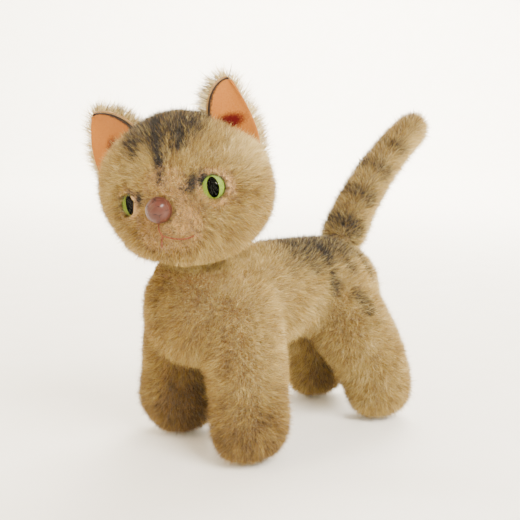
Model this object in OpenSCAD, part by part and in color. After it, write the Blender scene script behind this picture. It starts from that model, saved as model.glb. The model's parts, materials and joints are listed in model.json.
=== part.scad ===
// Standing plush kitten: mohair covers over packed stuffing, with a turning head
// on a disc joint. The body faces -Y, +Z is up and the kitten's left is +X.
// Lengths are in millimetres and angles in degrees.

/* [Stance] */
// Distance of each leg's axis from the centre plane at the foot
leg_x = 18.5; // [17:0.5:19]
// Place of the front feet, fore and aft
front_foot_y = -26; // [-28:1:-22]
// Place of the rear feet, fore and aft
rear_foot_y = 39; // [36:1:42]
// Outer radius of a front foot, over the pile
front_foot_r = 14; // [13:0.5:14.5]
// Outer radius of a rear foot, over the pile
rear_foot_r = 13.2; // [12.6:0.2:14]

/* [Torso] */
// Outer radius of the chest, over the pile
chest_r = 21; // [20:0.5:22]
// Outer radius of the rump, over the pile
rump_r = 19; // [18:0.5:21]
// Height of the torso's centre line
torso_z = 50; // [48:0.5:52]

/* [Tail] */
// Outer radius of the tail at its root
tail_root_r = 8.4; // [7.6:0.2:9]
// Outer radius of the tail at its tip
tail_tip_r = 6.6; // [6:0.2:8]

/* [Head] */
// Height of the middle of the head
head_z = 89; // [88:0.5:90]
// How far the head's middle lies in front of the neck pin
head_forward = 7; // [5:0.5:7]
// How far the head is turned towards the kitten's left
head_turn = 37; // [0:1:60]
// How far the crown leans towards the kitten's right
head_tilt = 13; // [8:1:14]
// Outer radius of the cheeks, over the pile
cheek_r = 20.5; // [19.5:0.5:21]

/* [Face] */
// Radius of each glass eye
eye_r = 3.9; // [3.6:0.1:4.4]
// Distance of each eye from the centre of the face
eye_x = 14.2; // [13:0.2:15]
// Radius of the nose button
nose_r = 3.9; // [3.6:0.1:4.4]

/* [Cover] */
// Thickness of the woven backing and its pile together
cover_t = 4; // [3:0.5:4.5]
// Space left between neighbouring pieces
gap = 0.2; // [0.15:0.05:0.3]

/* [Neck joint] */
// Place of the neck pin, fore and aft
neck_y = -34; // [-35:0.5:-33]
// Height of the face where the head turns on the body
neck_z = 64; // [63:0.5:65]
// Radius of the two hardboard discs
disc_r = 9.5; // [8:0.5:10]
// Thickness of each hardboard disc
disc_t = 2.2; // [1.5:0.1:3]
// Radius of the cotter pin's two legs together
pin_r = 1; // [0.8:0.1:1.2]

/* [Hidden] */

// The finished model is moved so that its box is centred over the origin.
box_centre = [0, 9.5];
form_fn = 22;
fine_fn = 48;
big = 400;

// The face where the head turns: body below, head above, with room to turn.
turn_gap = 0.4;
head_floor = neck_z + turn_gap;
neck_cloth_t = 2;
neck_r = 12.5;
sweep_r = 29.5;
neck_root_r = 16;
// Ball that joins the neck's stub to the skull.
skull_root_r = 18;
skull_root_rise = 19;
washer_r = 4;
washer_t = 0.8;
bore_r = pin_r + 0.06;
wire_r = 0.45;
thread_r = 0.4;
drawstring_r = 0.4;
body_disc_z = neck_z - neck_cloth_t - gap - disc_t;
body_washer_z = body_disc_z - gap / 2 - washer_t;
head_disc_z = head_floor + neck_cloth_t + 2 * drawstring_r + 2 * gap;
head_washer_z = head_disc_z + disc_t + gap / 2;
// Pockets in the stuffing round the joint: beside the discs, round the pin's legs, round its ring.
disc_pocket_r = disc_r + 0.5;
disc_pocket_h = 9;
legs_pocket_r = 5;
legs_pocket_h = 12;
ring_pocket_r = 4.5;
ring_pocket_h = 14;
pin_hole_r = pin_r + 0.6;
tail_cover_t = cover_t - 1;
// Stitches lie this far off the form they are sewn to.
stitch_gap = 0.03;

// Balls [x, y, z, r] that the covers are drawn over, for the kitten's left.
spine = [
    [0, -28, torso_z - 1, chest_r],
    [0, -16, torso_z - 0.5, chest_r - 0.5],
    [0, 6, torso_z + 2, 18],
    [0, 24, torso_z + 0.5, rump_r],
    [0, 32, torso_z - 1, rump_r - 1.5]
];
front_leg = [
    [10.5, front_foot_y, 48, 15.5],
    [15, front_foot_y, 36, 14.5],
    [leg_x - 0.5, front_foot_y, 23, 13.2],
    [leg_x, front_foot_y - 0.5, front_foot_r - 1, front_foot_r],
    [leg_x, front_foot_y - 4, 9.5, 10.5]
];
rear_leg = [
    [9, 24, 46, 15],
    [12, 28, 37, 15.5],
    [15, rear_foot_y - 4, 25, 14.2],
    [leg_x - 1.5, rear_foot_y, rear_foot_r - 1, rear_foot_r],
    [leg_x - 1.5, rear_foot_y - 4, 9.5, 10]
];
tail = [
    [0, 31, 56, tail_root_r + 1.2],
    [0, 36, 68, tail_root_r + 0.2],
    [0, 43.5, 80, tail_root_r - 0.4],
    [0, 53, 91, tail_root_r - 0.8],
    [0, 64.5, 101, tail_tip_r + 0.5],
    [0, 76.5, 109.5, tail_tip_r]
];
// Pairs of balls inside the head, measured from the middle of the head.
skull = [
    [[-1.5, 0.5, 5, 22], [7.6, 1, -1, cheek_r]],
    [[-1.5, 0.5, 5, 22], [-9.6, 1, 3.6, cheek_r - 0.5]],
    [[7.6, 1, -1, cheek_r], [-9.6, 1, 3.6, cheek_r - 0.5]],
    [[0, -2.5, -1.5, 22], [0, 4, 1, 21.5]],
    [[4.2, -16.5, -9.5, 9], [7, -3, -4, 18.5]],
    [[-6.8, -16.5, -9.5, 9], [-7, -3, -3, 18.5]],
    [[4.2, -16.5, -9.5, 9], [-6.8, -16.5, -9.5, 9]],
    [[-1.5, -19, -4, 8], [0, -6, 3, 17.5]],
    [[0, -12.5, -14, 9], [0, -3, -6, 17]]
];
// Chest seam, from the throat down to between the front legs.
chest_seam = [
    [0, -44.6, 61.5], [0, -47.2, 57.5], [0, -48.7, 53], [0, -49.1, 48.5],
    [0, -48.6, 44], [0, -47.1, 39.5], [0, -44.4, 35.5], [0, -41.2, 32.5]
];
// Mouth strokes, measured from the middle of the head.
mouth_lines = [
    [[-3.2, -26.2, -7.8], [-2.6, -25.8, -9.2], [-2, -25.8, -10.8]],
    [[-2, -25.8, -10.8], [0, -25.6, -12.2], [3.4, -25.3, -12.8], [6.8, -25, -12.2]],
    [[-2, -25.8, -10.8], [-3.2, -25.4, -12.4], [-4.6, -24.9, -13.6]]
];
// Ears, left then right: base inside corner, base outside corner, tip, and turn to the side.
ears = [
    [[11.5, 24.5], [26, 6], [20.8, 31.6], 24],
    [[13, 24.5], [29.5, 8], [28.5, 31], 14]
];
ear_y = 1;
ear_back_t = 3.4;
ear_lining_t = 1;
ear_corner_r = 2;

// Belly seam: the underbody gusset lies below this height and between the legs.
gusset_z = 38;
gusset_x = leg_x - 2.5;
head_gusset_x = 8;
head_gusset_z = -4;

eye_y = -18.6;
eye_z = 0.2;
// The right eye is set a little further out and back than the left.
right_eye_shift = [-2, 1.4, 0];
eye_turn = 24;
eye_depth = 3.4;
iris_t = 0.8;
pupil_half_w = 1.8;
pupil_half_h = 3.1;
nose_place = [-2, -26.2, -2.8];
nose_depth = 6.4;
nape = [0, 21, 1];

module ball(b, inset) {
    translate([b[0], b[1], b[2]]) sphere(r = b[3] - inset, $fn = form_fn);
}

module chain(balls, inset) {
    for (i = [0 : len(balls) - 2])
        hull() {
            ball(balls[i], inset);
            ball(balls[i + 1], inset);
        }
}

module thread_line(points, r) {
    for (i = [0 : len(points) - 2])
        hull() {
            translate(points[i]) sphere(r = r, $fn = 10);
            translate(points[i + 1]) sphere(r = r, $fn = 10);
        }
}

module both_sides() {
    children();
    mirror([1, 0, 0]) children();
}

module above(z) {
    translate([-big / 2, -big / 2, z]) cube(big);
}

// Everything the head passes through as it turns, with room to spare.
module head_sweep() {
    translate([0, neck_y, 0]) rotate_extrude($fn = fine_fn)
        intersection() {
            translate([0, neck_z]) square([big, big]);
            union() {
                translate([head_forward, head_z]) circle(r = sweep_r, $fn = 72);
                translate([0, neck_z]) square([neck_r + 2, 10]);
            }
        }
}

// Outside of the torso, legs and neck, drawn in by inset.
module body_form(inset) {
    difference() {
        union() {
            chain(spine, inset);
            both_sides() {
                chain(front_leg, inset);
                chain(rear_leg, inset);
            }
            hull() {
                translate([0, neck_y, neck_z - 8])
                    cylinder(r = neck_r + 1 - inset, h = 8 - inset, $fn = 36);
                translate([0, -24, torso_z]) sphere(r = neck_root_r - inset, $fn = form_fn);
            }
        }
        translate([0, 0, inset > 0 ? min(inset, cover_t) - big : -big])
            translate([-big / 2, -big / 2, 0]) cube(big);
        if (inset < 1) head_sweep();
        else translate([0, 0, -neck_cloth_t - inset + cover_t]) head_sweep();
    }
}

// Places a shape made about the middle of the head.
module on_head() {
    translate([0, neck_y, 0]) rotate([0, 0, head_turn])
        translate([0, -head_forward, head_z]) children();
}

module tilted() {
    on_head() rotate([0, -head_tilt, 0]) children();
}

// Outside of the head and the stub of the neck, drawn in by inset.
module head_form(inset) {
    difference() {
        union() {
            tilted() for (pair = skull) chain(pair, inset);
            translate([0, neck_y, 0]) rotate([0, 0, head_turn]) hull() {
                translate([0, 0, head_floor])
                    cylinder(r = neck_r - inset, h = 3, $fn = 36);
                translate([0, -head_forward / 2, head_floor + skull_root_rise])
                    sphere(r = skull_root_r - inset, $fn = form_fn);
            }
        }
        mirror([0, 0, 1])
            above(-head_floor - (inset < 1 ? 0 : neck_cloth_t + inset - cover_t));
    }
}

module shell_of_body() {
    difference() {
        body_form(0);
        body_form(cover_t);
        neck_hole();
        translate([0, neck_y, body_washer_z - 1])
            cylinder(r = disc_r + gap, h = neck_z - neck_cloth_t - body_washer_z + 1, $fn = 36);
    }
}

module shell_of_head() {
    difference() {
        head_form(0);
        head_form(cover_t);
        neck_hole();
        translate([0, neck_y, head_floor + neck_cloth_t])
            cylinder(r = disc_r + gap, h = disc_t + 2, $fn = 36);
        tilted() face_sockets();
    }
}

module neck_hole() {
    translate([0, neck_y, neck_z - 10]) cylinder(r = pin_hole_r, h = 20, $fn = 24);
}

// Room for the eyes and nose, their wires and their ties.
module face_sockets() {
    for (side = [-1, 1]) {
        at_eye(side) {
            translate([0, 0, -eye_depth - iris_t - gap])
                cylinder(r = eye_r + gap, h = 20, $fn = fine_fn);
            translate([0, 0, -eye_depth - 6]) cylinder(r = 2.6, h = 8, $fn = 24);
        }
        tie_line(side, thread_r + 0.3);
    }
    at_nose() {
        translate([0, 0, -nose_depth / 2 - gap])
            cylinder(r = nose_r + gap, h = 20, $fn = fine_fn);
        translate([0, 0, -nose_depth / 2 - 5]) cylinder(r = 1.6, h = 6, $fn = 24);
    }
}

function eye_spot(side) = [side * eye_x, eye_y, eye_z] + (side < 0 ? right_eye_shift : [0, 0, 0]);

module at_eye(side) {
    translate(eye_spot(side)) rotate([0, 0, side * eye_turn])
        rotate([90, 0, 0]) children();
}

module at_nose() {
    translate(nose_place) rotate([90, 0, 0]) children();
}

// Where an eye's tie starts, just behind its wire loop.
function tie_start(side) = eye_spot(side) + [-3.6 * side, 8.2, 0];

module tie_line(side, r) {
    start = tie_start(side);
    finish = [side * 3, nape[1], nape[2]];
    run = finish - start;
    translate(start) rotate([0, 90, atan2(run[1], run[0])])
        cylinder(r = r, h = norm([run[0], run[1]]), $fn = 16);
}

module placed() {
    translate([-box_centre[0], -box_centre[1], 0]) children();
}

module gusset_region(shrink) {
    translate([-gusset_x + shrink, -big / 2, -1])
        cube([2 * (gusset_x - shrink), big, gusset_z + 1 - shrink]);
}

module side_region(side) {
    translate([side > 0 ? gap / 2 : -big - gap / 2, -big / 2, -big / 2]) cube(big);
}

module side_panel(side) {
    color("#cbb184") placed() difference() {
        intersection() {
            shell_of_body();
            side_region(side);
        }
        gusset_region(0);
    }
}

module side_panel_left() { side_panel(1); }

module side_panel_right() { side_panel(-1); }

module underbody_gusset() {
    color("#c2a675") placed() intersection() {
        shell_of_body();
        gusset_region(gap);
    }
}

module body_stuffing() {
    color("#d8c9a4") placed() difference() {
        body_form(cover_t + gap);
        translate([0, neck_y, neck_z - 10]) cylinder(r = disc_pocket_r, h = 20, $fn = fine_fn);
        translate([0, neck_y, neck_z - legs_pocket_h - 0.5])
            cylinder(r = legs_pocket_r, h = legs_pocket_h, $fn = 32);
    }
}

module tail_cover() {
    color("#cbb184") placed() difference() {
        chain(tail, 0);
        chain(tail, tail_cover_t);
        body_form(-gap);
    }
}

module tail_stuffing() {
    color("#d8c9a4") placed() difference() {
        chain(tail, tail_cover_t + gap);
        body_form(-gap);
    }
}

module chest_seam_thread() {
    color("#8d7042") placed() difference() {
        thread_line(chest_seam, thread_r);
        body_form(-stitch_gap);
    }
}

module disc_with_bore(r, t) {
    difference() {
        cylinder(r = r, h = t, $fn = fine_fn);
        translate([0, 0, -1]) cylinder(r = bore_r, h = t + 2, $fn = fine_fn);
    }
}

module body_joint_disc() {
    color("#8a6a48") placed() translate([0, neck_y, body_disc_z])
        disc_with_bore(disc_r, disc_t);
}

module body_washer() {
    color("#9a9a98") placed() translate([0, neck_y, body_washer_z])
        disc_with_bore(washer_r, washer_t);
}

// Ring above the head's washer, a round shank, and legs curled under the body's.
module cotter_pin() {
    ring_r = 1.8;
    ring_wire_r = 0.7 * pin_r;
    curl_r = 1.9;
    curl_wire_r = 0.6 * pin_r;
    top = head_washer_z + washer_t + gap;
    foot = body_washer_z - gap - curl_r - curl_wire_r;
    color("#8f8d88") placed() translate([0, neck_y, 0]) union() {
        translate([0, 0, foot]) cylinder(r = pin_r, h = top - foot + ring_wire_r, $fn = fine_fn);
        translate([0, 0, top + ring_r + ring_wire_r]) rotate([90, 0, 0])
            rotate_extrude($fn = fine_fn) translate([ring_r, 0]) circle(r = ring_wire_r, $fn = 20);
        for (side = [0, 180])
            rotate([0, 0, side]) translate([curl_r, 0, foot]) rotate([90, 0, 0])
                rotate([0, 0, 180]) rotate_extrude(angle = 250, $fn = fine_fn)
                    translate([curl_r, 0]) circle(r = curl_wire_r, $fn = 20);
    }
}

module head_side(side) {
    color("#cbb184") placed() difference() {
        intersection() {
            shell_of_head();
            tilted() side_region(side);
        }
        tilted() head_gusset_region(0);
    }
}

module head_gusset_region(shrink) {
    translate([-head_gusset_x + shrink, -big / 2, head_gusset_z + shrink])
        cube([2 * (head_gusset_x - shrink), big, big]);
}

module head_side_left() { head_side(1); }

module head_side_right() { head_side(-1); }

module head_gusset() {
    color("#a8905f") placed() intersection() {
        shell_of_head();
        tilted() head_gusset_region(gap);
    }
}

module head_stuffing() {
    color("#d8c9a4") placed() difference() {
        head_form(cover_t + gap);
        tilted() face_sockets();
        translate([0, neck_y, head_floor])
            cylinder(r = disc_pocket_r, h = disc_pocket_h, $fn = fine_fn);
        translate([0, neck_y, head_floor])
            cylinder(r = ring_pocket_r, h = ring_pocket_h, $fn = 32);
    }
}

function ear(side) = ears[side > 0 ? 0 : 1];

module ear_outline(side, grow) {
    hull() for (corner = [0 : 2])
        translate(ear(side)[corner]) circle(r = ear_corner_r + grow, $fn = 20);
}

// Puts a flat shape, drawn in the face's plane, where the ear stands.
module at_ear(side) {
    pivot = ear(side)[0];
    mirror([side > 0 ? 0 : 1, 0, 0])
        translate([pivot[0], ear_y, pivot[1]]) rotate([0, 0, ear(side)[3]])
            rotate([90, 0, 0]) translate([-pivot[0], -pivot[1], 0]) children();
}

module ear_back(side) {
    color("#cbb184") placed() difference() {
        tilted() at_ear(side) translate([0, 0, -ear_back_t])
            linear_extrude(ear_back_t) ear_outline(side, 0);
        head_form(-gap);
    }
}

module ear_lining(side) {
    color("#d79d6b") placed() difference() {
        tilted() at_ear(side) translate([0, 0, gap / 2])
            linear_extrude(ear_lining_t) ear_outline(side, -1.2);
        head_form(-gap);
    }
}

module ear_back_left() { ear_back(1); }

module ear_back_right() { ear_back(-1); }

module ear_lining_left() { ear_lining(1); }

module ear_lining_right() { ear_lining(-1); }

// Glass front of an eye: a flat back and a domed face.
module eye_glass(side) {
    color("#b9c79a", 0.5) placed() tilted() at_eye(side)
        translate([0, 0, -eye_depth + gap / 2]) intersection() {
            cylinder(r = eye_r, h = 2 * eye_r, $fn = fine_fn);
            translate([0, 0, eye_depth - eye_r * 1.1]) sphere(r = eye_r * 1.1, $fn = 64);
        }
}

module eye_glass_left() { eye_glass(1); }

module eye_glass_right() { eye_glass(-1); }

module oval(half_w, half_h) {
    polygon([for (a = [0 : 15 : 345]) [half_w * cos(a), half_h * sin(a)]]);
}

module iris(side) {
    color("#9aa653") placed() tilted() at_eye(side)
        translate([0, 0, -eye_depth - iris_t]) difference() {
            cylinder(r = eye_r - 0.3, h = iris_t, $fn = fine_fn);
            translate([0, 0, iris_t - 0.4]) linear_extrude(1)
                oval(pupil_half_w + 0.05, pupil_half_h + 0.05);
        }
}

module iris_left() { iris(1); }

module iris_right() { iris(-1); }

module pupil(side) {
    color("#0b0a09") placed() tilted() at_eye(side)
        translate([0, 0, -eye_depth - 0.35]) linear_extrude(0.35)
            oval(pupil_half_w, pupil_half_h);
}

module pupil_left() { pupil(1); }

module pupil_right() { pupil(-1); }

// Wire loop behind an eye, standing on its back.
module eye_wire(side) {
    loop_r = 1.5;
    color("#7c776e") placed() tilted() at_eye(side)
        translate([0, 0, -eye_depth - iris_t - gap / 2 - loop_r - wire_r])
            rotate([90, 0, 0]) rotate_extrude($fn = 36)
                translate([loop_r, 0]) circle(r = wire_r, $fn = 16);
}

module eye_wire_left() { eye_wire(1); }

module eye_wire_right() { eye_wire(-1); }

module eye_tie(side) {
    color("#c9b891") placed() tilted() tie_line(side, thread_r);
}

module eye_tie_left() { eye_tie(1); }

module eye_tie_right() { eye_tie(-1); }

module nose_button() {
    edge = nose_depth / 2;
    color("#a06f67") placed() tilted() at_nose() intersection() {
        translate([0, 0, -edge]) cylinder(r = nose_r, h = nose_depth, $fn = fine_fn);
        translate([0, 0, edge - nose_r * 1.05]) sphere(r = nose_r * 1.05, $fn = 64);
    }
}

module nose_wire() {
    color("#7c776e") placed() tilted() at_nose()
        translate([0, 0, -nose_depth / 2 - 4.4]) cylinder(r = wire_r, h = 4, $fn = 20);
}

module mouth_stitches() {
    color("#b5603f") placed() difference() {
        tilted() for (line = mouth_lines) thread_line(line, 0.5);
        head_form(-stitch_gap);
    }
}

module head_joint_disc() {
    color("#8a6a48") placed() translate([0, neck_y, head_disc_z])
        disc_with_bore(disc_r, disc_t);
}

module head_washer() {
    color("#9a9a98") placed() translate([0, neck_y, head_washer_z])
        disc_with_bore(washer_r, washer_t);
}

// Ring of strong thread that gathers the head's neck opening round the pin.
module neck_drawstring() {
    color("#c9b891") placed()
        translate([0, neck_y, head_floor + neck_cloth_t + gap + drawstring_r])
            rotate_extrude($fn = fine_fn) translate([3.2, 0]) circle(r = drawstring_r, $fn = 16);
}

side_panel_left();
side_panel_right();
underbody_gusset();
body_stuffing();
tail_cover();
tail_stuffing();
chest_seam_thread();
body_joint_disc();
body_washer();
cotter_pin();
head_side_left();
head_side_right();
head_gusset();
head_stuffing();
ear_back_left();
ear_back_right();
ear_lining_left();
ear_lining_right();
eye_glass_left();
eye_glass_right();
iris_left();
iris_right();
pupil_left();
pupil_right();
eye_wire_left();
eye_wire_right();
eye_tie_left();
eye_tie_right();
nose_button();
nose_wire();
mouth_stitches();
head_joint_disc();
head_washer();
neck_drawstring();
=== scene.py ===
"""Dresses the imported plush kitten: mohair pile, felt ears, glass eyes and sewn details.

Every length is in metres. The kitten's body faces -Y, its left is +X and it stands on z = 0.
"""

import json
import logging
import math
from dataclasses import dataclass, fields
from enum import Enum

import bmesh
import bpy
import numpy as np
from bmesh.types import BMesh
from bpy.types import Material, Mesh, Node, NodeSocket, NodeTree, Object
from mathutils import Matrix, Vector


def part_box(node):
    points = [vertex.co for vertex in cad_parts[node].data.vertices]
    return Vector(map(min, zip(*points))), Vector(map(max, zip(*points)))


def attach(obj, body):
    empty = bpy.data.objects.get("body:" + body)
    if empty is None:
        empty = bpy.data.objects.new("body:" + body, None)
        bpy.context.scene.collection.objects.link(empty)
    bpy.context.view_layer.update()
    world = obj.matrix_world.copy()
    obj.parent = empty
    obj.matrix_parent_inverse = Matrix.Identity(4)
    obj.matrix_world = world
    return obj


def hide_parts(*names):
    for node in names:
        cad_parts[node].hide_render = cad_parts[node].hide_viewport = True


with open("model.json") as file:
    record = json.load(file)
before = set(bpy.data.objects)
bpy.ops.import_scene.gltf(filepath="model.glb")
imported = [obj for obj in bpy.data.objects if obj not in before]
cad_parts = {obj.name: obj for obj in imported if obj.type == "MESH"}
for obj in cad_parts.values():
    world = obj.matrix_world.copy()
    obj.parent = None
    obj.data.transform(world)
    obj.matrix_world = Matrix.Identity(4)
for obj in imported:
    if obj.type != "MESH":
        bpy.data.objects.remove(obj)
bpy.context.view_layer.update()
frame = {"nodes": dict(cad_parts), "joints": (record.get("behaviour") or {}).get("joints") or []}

LOG = logging.getLogger("plush_kitten")
MM = 0.001
Points = np.ndarray
SPECKS = {"Detail": 3.0, "Roughness": 0.6}
SOFT_EDGE = {"interpolation_type": "SMOOTHSTEP"}


# ---------------------------------------------------------------- colours and node trees


def linear(hex_code: str, alpha: float = 1.0) -> tuple[float, float, float, float]:
    """Turns an sRGB hex value into the linear colour that shaders take.

    Args:
        hex_code: Colour such as "#c9b183".
        alpha: Opacity.

    Returns:
        Red, green, blue and alpha.
    """
    parts = [int(hex_code[i : i + 2], 16) / 255 for i in (1, 3, 5)]
    bent = [c / 12.92 if c <= 0.04045 else ((c + 0.055) / 1.055) ** 2.4 for c in parts]
    return (bent[0], bent[1], bent[2], alpha)


def fill(tree: NodeTree, socket: NodeSocket, value: object) -> None:
    """Fills an input: from a node's first output in use, an output, an sRGB hex colour or a value."""
    if isinstance(value, Node):
        value = next(output for output in value.outputs if output.enabled)
    if isinstance(value, NodeSocket):
        tree.links.new(value, socket)
    elif isinstance(value, str) and value.startswith("#"):
        socket.default_value = linear(value)
    else:
        socket.default_value = value


def add_node(tree: NodeTree, kind: str, *values: object, **named: object) -> Node:
    """Adds a node with its settings and links.

    Args:
        tree: Tree that the node goes into.
        kind: The node's type name, with its operation after a blank where it has one.
        *values: What fills the inputs in use, in their order.
        **named: Settings, which start in lower case, and inputs, with _ for a blank.

    Returns:
        The new node.
    """
    kind, _, operation = kind.partition(" ")
    node = tree.nodes.new(kind)
    if operation:
        node.operation = operation
    for name, value in named.items():
        if name[0].islower():
            setattr(node, name, value)
    inputs = [socket for socket in node.inputs if socket.enabled]
    for socket, value in zip(inputs, values):
        fill(tree, socket, value)
    for name, value in named.items():
        if name[0].isupper():
            fill(tree, next(s for s in inputs if s.name == name.replace("_", " ")), value)
    return node


def new_tree(name: str, result: str, inputs: dict[str, str]) -> NodeTree:
    """Starts a geometry tree.

    Args:
        name: Name of the tree.
        result: Name of its output.
        inputs: Each input's name and kind.

    Returns:
        The tree, with nothing in it but its sockets.
    """
    tree = bpy.data.node_groups.new(name, "GeometryNodeTree")
    for label, kind in inputs.items():
        tree.interface.new_socket(label, in_out="INPUT", socket_type=f"NodeSocket{kind}")
    tree.interface.new_socket(result, in_out="OUTPUT", socket_type="NodeSocketGeometry")
    return tree


# ---------------------------------------------------------------- finishes


@dataclass(frozen=True)
class Surface:
    """Shader values that are the same all over a finish."""

    roughness: float = 0.6
    metallic: float = 0.0
    ior: float = 1.5
    specular: float = 0.5
    sheen: float = 0.0
    coat: float = 0.0
    transmission: float = 0.0

    def start(self, name: str, colour: str) -> tuple[Material, NodeTree, Node]:
        """Makes a material with these values.

        Args:
            name: Name of the material.
            colour: Its base colour, as sRGB hex.

        Returns:
            The material, its tree and its Principled shader.
        """
        material = bpy.data.materials.new(name)
        material.use_nodes = True
        tree = material.node_tree
        shader = tree.nodes["Principled BSDF"]
        material.diffuse_color = linear(colour)
        for socket, value in (
            ("Base Color", linear(colour)),
            ("Roughness", self.roughness),
            ("Metallic", self.metallic),
            ("IOR", self.ior),
            ("Specular IOR Level", self.specular),
            ("Sheen Weight", self.sheen),
            ("Coat Weight", self.coat),
            ("Coat Roughness", 0.05),
            ("Transmission Weight", self.transmission),
        ):
            shader.inputs[socket].default_value = value
        return material, tree, shader


@dataclass(frozen=True)
class WovenBacking:
    """Cotton ground cloth that mohair is woven into: a plain weave, seen where the pile parts."""

    thread_spacing: float = 0.7 * MM
    blotch: float = 6 * MM
    relief: float = 0.1 * MM

    def material(self) -> Material:
        """Makes the cloth: warp and weft threads with a warm, uneven dye."""
        surface = Surface(roughness=0.9, specular=0.2, sheen=0.3)
        material, tree, shader = surface.start("woven_cotton_backing", "#b8935c")
        place = add_node(tree, "ShaderNodeTexCoord").outputs["Object"]
        wave = 2 * math.pi / self.thread_spacing
        rows = []
        for axis in add_node(tree, "ShaderNodeSeparateXYZ", place).outputs:
            turns = add_node(tree, "ShaderNodeMath MULTIPLY", axis, wave)
            rows.append(add_node(tree, "ShaderNodeMath SINE", turns))
        crossed = add_node(tree, "ShaderNodeMath ADD", rows[0], rows[1])
        weave = add_node(tree, "ShaderNodeMath MULTIPLY", crossed, rows[2])
        uneven = add_node(tree, "ShaderNodeTexNoise", Vector=place, Scale=1 / self.blotch, **SPECKS)
        tint = add_node(tree, "ShaderNodeMix", uneven, "#a67f49", "#d0ab72", data_type="RGBA")
        threads = add_node(tree, "ShaderNodeMath MULTIPLY_ADD", weave, 0.2, 0.5, use_clamp=True)
        colour = add_node(tree, "ShaderNodeMix", threads, "#8a6537", tint, data_type="RGBA")
        bump = add_node(tree, "ShaderNodeBump", Height=weave, Distance=self.relief, Strength=1.0)
        fill(tree, shader.inputs["Base Color"], colour)
        fill(tree, shader.inputs["Normal"], bump)
        return material


@dataclass(frozen=True)
class MohairShade:
    """One dye shade of goat-hair pile. Strands of many shades together give the mottled coat."""

    name: str
    colour: str

    def material(self) -> Material:
        """Makes a shade. A strand is far thinner than any pattern, so its colour is plain."""
        surface = Surface(roughness=0.5, specular=0.3, sheen=0.25)
        return surface.start(f"mohair_{self.name}", self.colour)[0]


@dataclass(frozen=True)
class WoodWool:
    """Packed fine wood shavings: pale tangled fibres."""

    shavings_per_metre: float = 900.0
    relief: float = 0.3 * MM

    def material(self) -> Material:
        """Makes the stuffing's fibrous surface."""
        material, tree, shader = Surface(roughness=0.85, specular=0.3).start("wood_wool", "#cdb88a")
        place = add_node(tree, "ShaderNodeTexCoord").outputs["Object"]
        fibres = add_node(
            tree,
            "ShaderNodeTexVoronoi",
            Vector=place,
            Scale=self.shavings_per_metre,
            feature="DISTANCE_TO_EDGE",
        )
        colour = add_node(tree, "ShaderNodeMix", fibres, "#8f7747", "#dcc99c", data_type="RGBA")
        bump = add_node(tree, "ShaderNodeBump", Height=fibres, Distance=self.relief, Strength=1.0)
        fill(tree, shader.inputs["Base Color"], colour)
        fill(tree, shader.inputs["Normal"], bump)
        return material


@dataclass(frozen=True)
class PeachFelt:
    """Pressed wool felt, with an airbrushed red hollow and a dark painted inner edge."""

    spot: Matrix
    fibre: float = 0.5 * MM
    blotch: float = 5 * MM
    relief: float = 0.12 * MM

    def material(self) -> Material:
        """Makes the felt: a red spot round the given place, and a dark edge at UV u = 0."""
        surface = Surface(roughness=0.95, specular=0.1, sheen=0.2)
        material, tree, shader = surface.start("wool_felt_peach", "#b87a40")
        place = add_node(tree, "ShaderNodeTexCoord").outputs["Object"]
        fine = {"Detail": 4.0, "Roughness": 0.6}
        fuzz = add_node(tree, "ShaderNodeTexNoise", Vector=place, Scale=1 / self.fibre, **fine)
        cloud = add_node(tree, "ShaderNodeTexNoise", Vector=place, Scale=1 / self.blotch, **SPECKS)
        felt = add_node(tree, "ShaderNodeMix", fuzz, "#865018", "#aa7032", data_type="RGBA")
        half_cloud = add_node(tree, "ShaderNodeMath MULTIPLY", cloud, 0.5)
        felt = add_node(tree, "ShaderNodeMix", half_cloud, felt, "#8e4c12", data_type="RGBA")

        centre, turn, half = self.spot.decompose()
        oval = add_node(
            tree,
            "ShaderNodeMapping",
            Vector=place,
            Location=centre,
            Rotation=turn.to_euler(),
            Scale=half,
            vector_type="TEXTURE",
        )
        reach = add_node(tree, "ShaderNodeVectorMath LENGTH", oval)
        stray = add_node(tree, "ShaderNodeMath SUBTRACT", fuzz, 0.5)
        ragged = add_node(tree, "ShaderNodeMath MULTIPLY_ADD", stray, 0.9, reach)
        red = add_node(tree, "ShaderNodeMapRange", ragged, 0.5, 1.5, 1.0, 0.0, **SOFT_EDGE)
        felt = add_node(tree, "ShaderNodeMix", red, felt, "#460100", data_type="RGBA")

        across = add_node(tree, "ShaderNodeSeparateXYZ", add_node(tree, "ShaderNodeUVMap", uv_map="ear"))
        waver = add_node(tree, "ShaderNodeMath MULTIPLY", stray, 0.12)
        edge = add_node(tree, "ShaderNodeMath ADD", across, waver)
        dark = add_node(tree, "ShaderNodeMapRange", edge, 0.03, 0.08, 1.0, 0.0, **SOFT_EDGE)
        colour = add_node(tree, "ShaderNodeMix", dark, felt, "#2b2016", data_type="RGBA")
        bump = add_node(tree, "ShaderNodeBump", Height=fuzz, Distance=self.relief, Strength=1.0)
        fill(tree, shader.inputs["Base Color"], colour)
        fill(tree, shader.inputs["Normal"], bump)
        return material


@dataclass(frozen=True)
class ClearGlass:
    """Polished lampwork glass over the painted eye."""

    def material(self) -> Material:
        """Makes the glass: clear, with a hard highlight."""
        surface = Surface(roughness=0.02, ior=1.03, transmission=1.0, specular=0.05, coat=0.12)
        return surface.start("lampwork_glass", "#f4faf0")[0]


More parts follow.
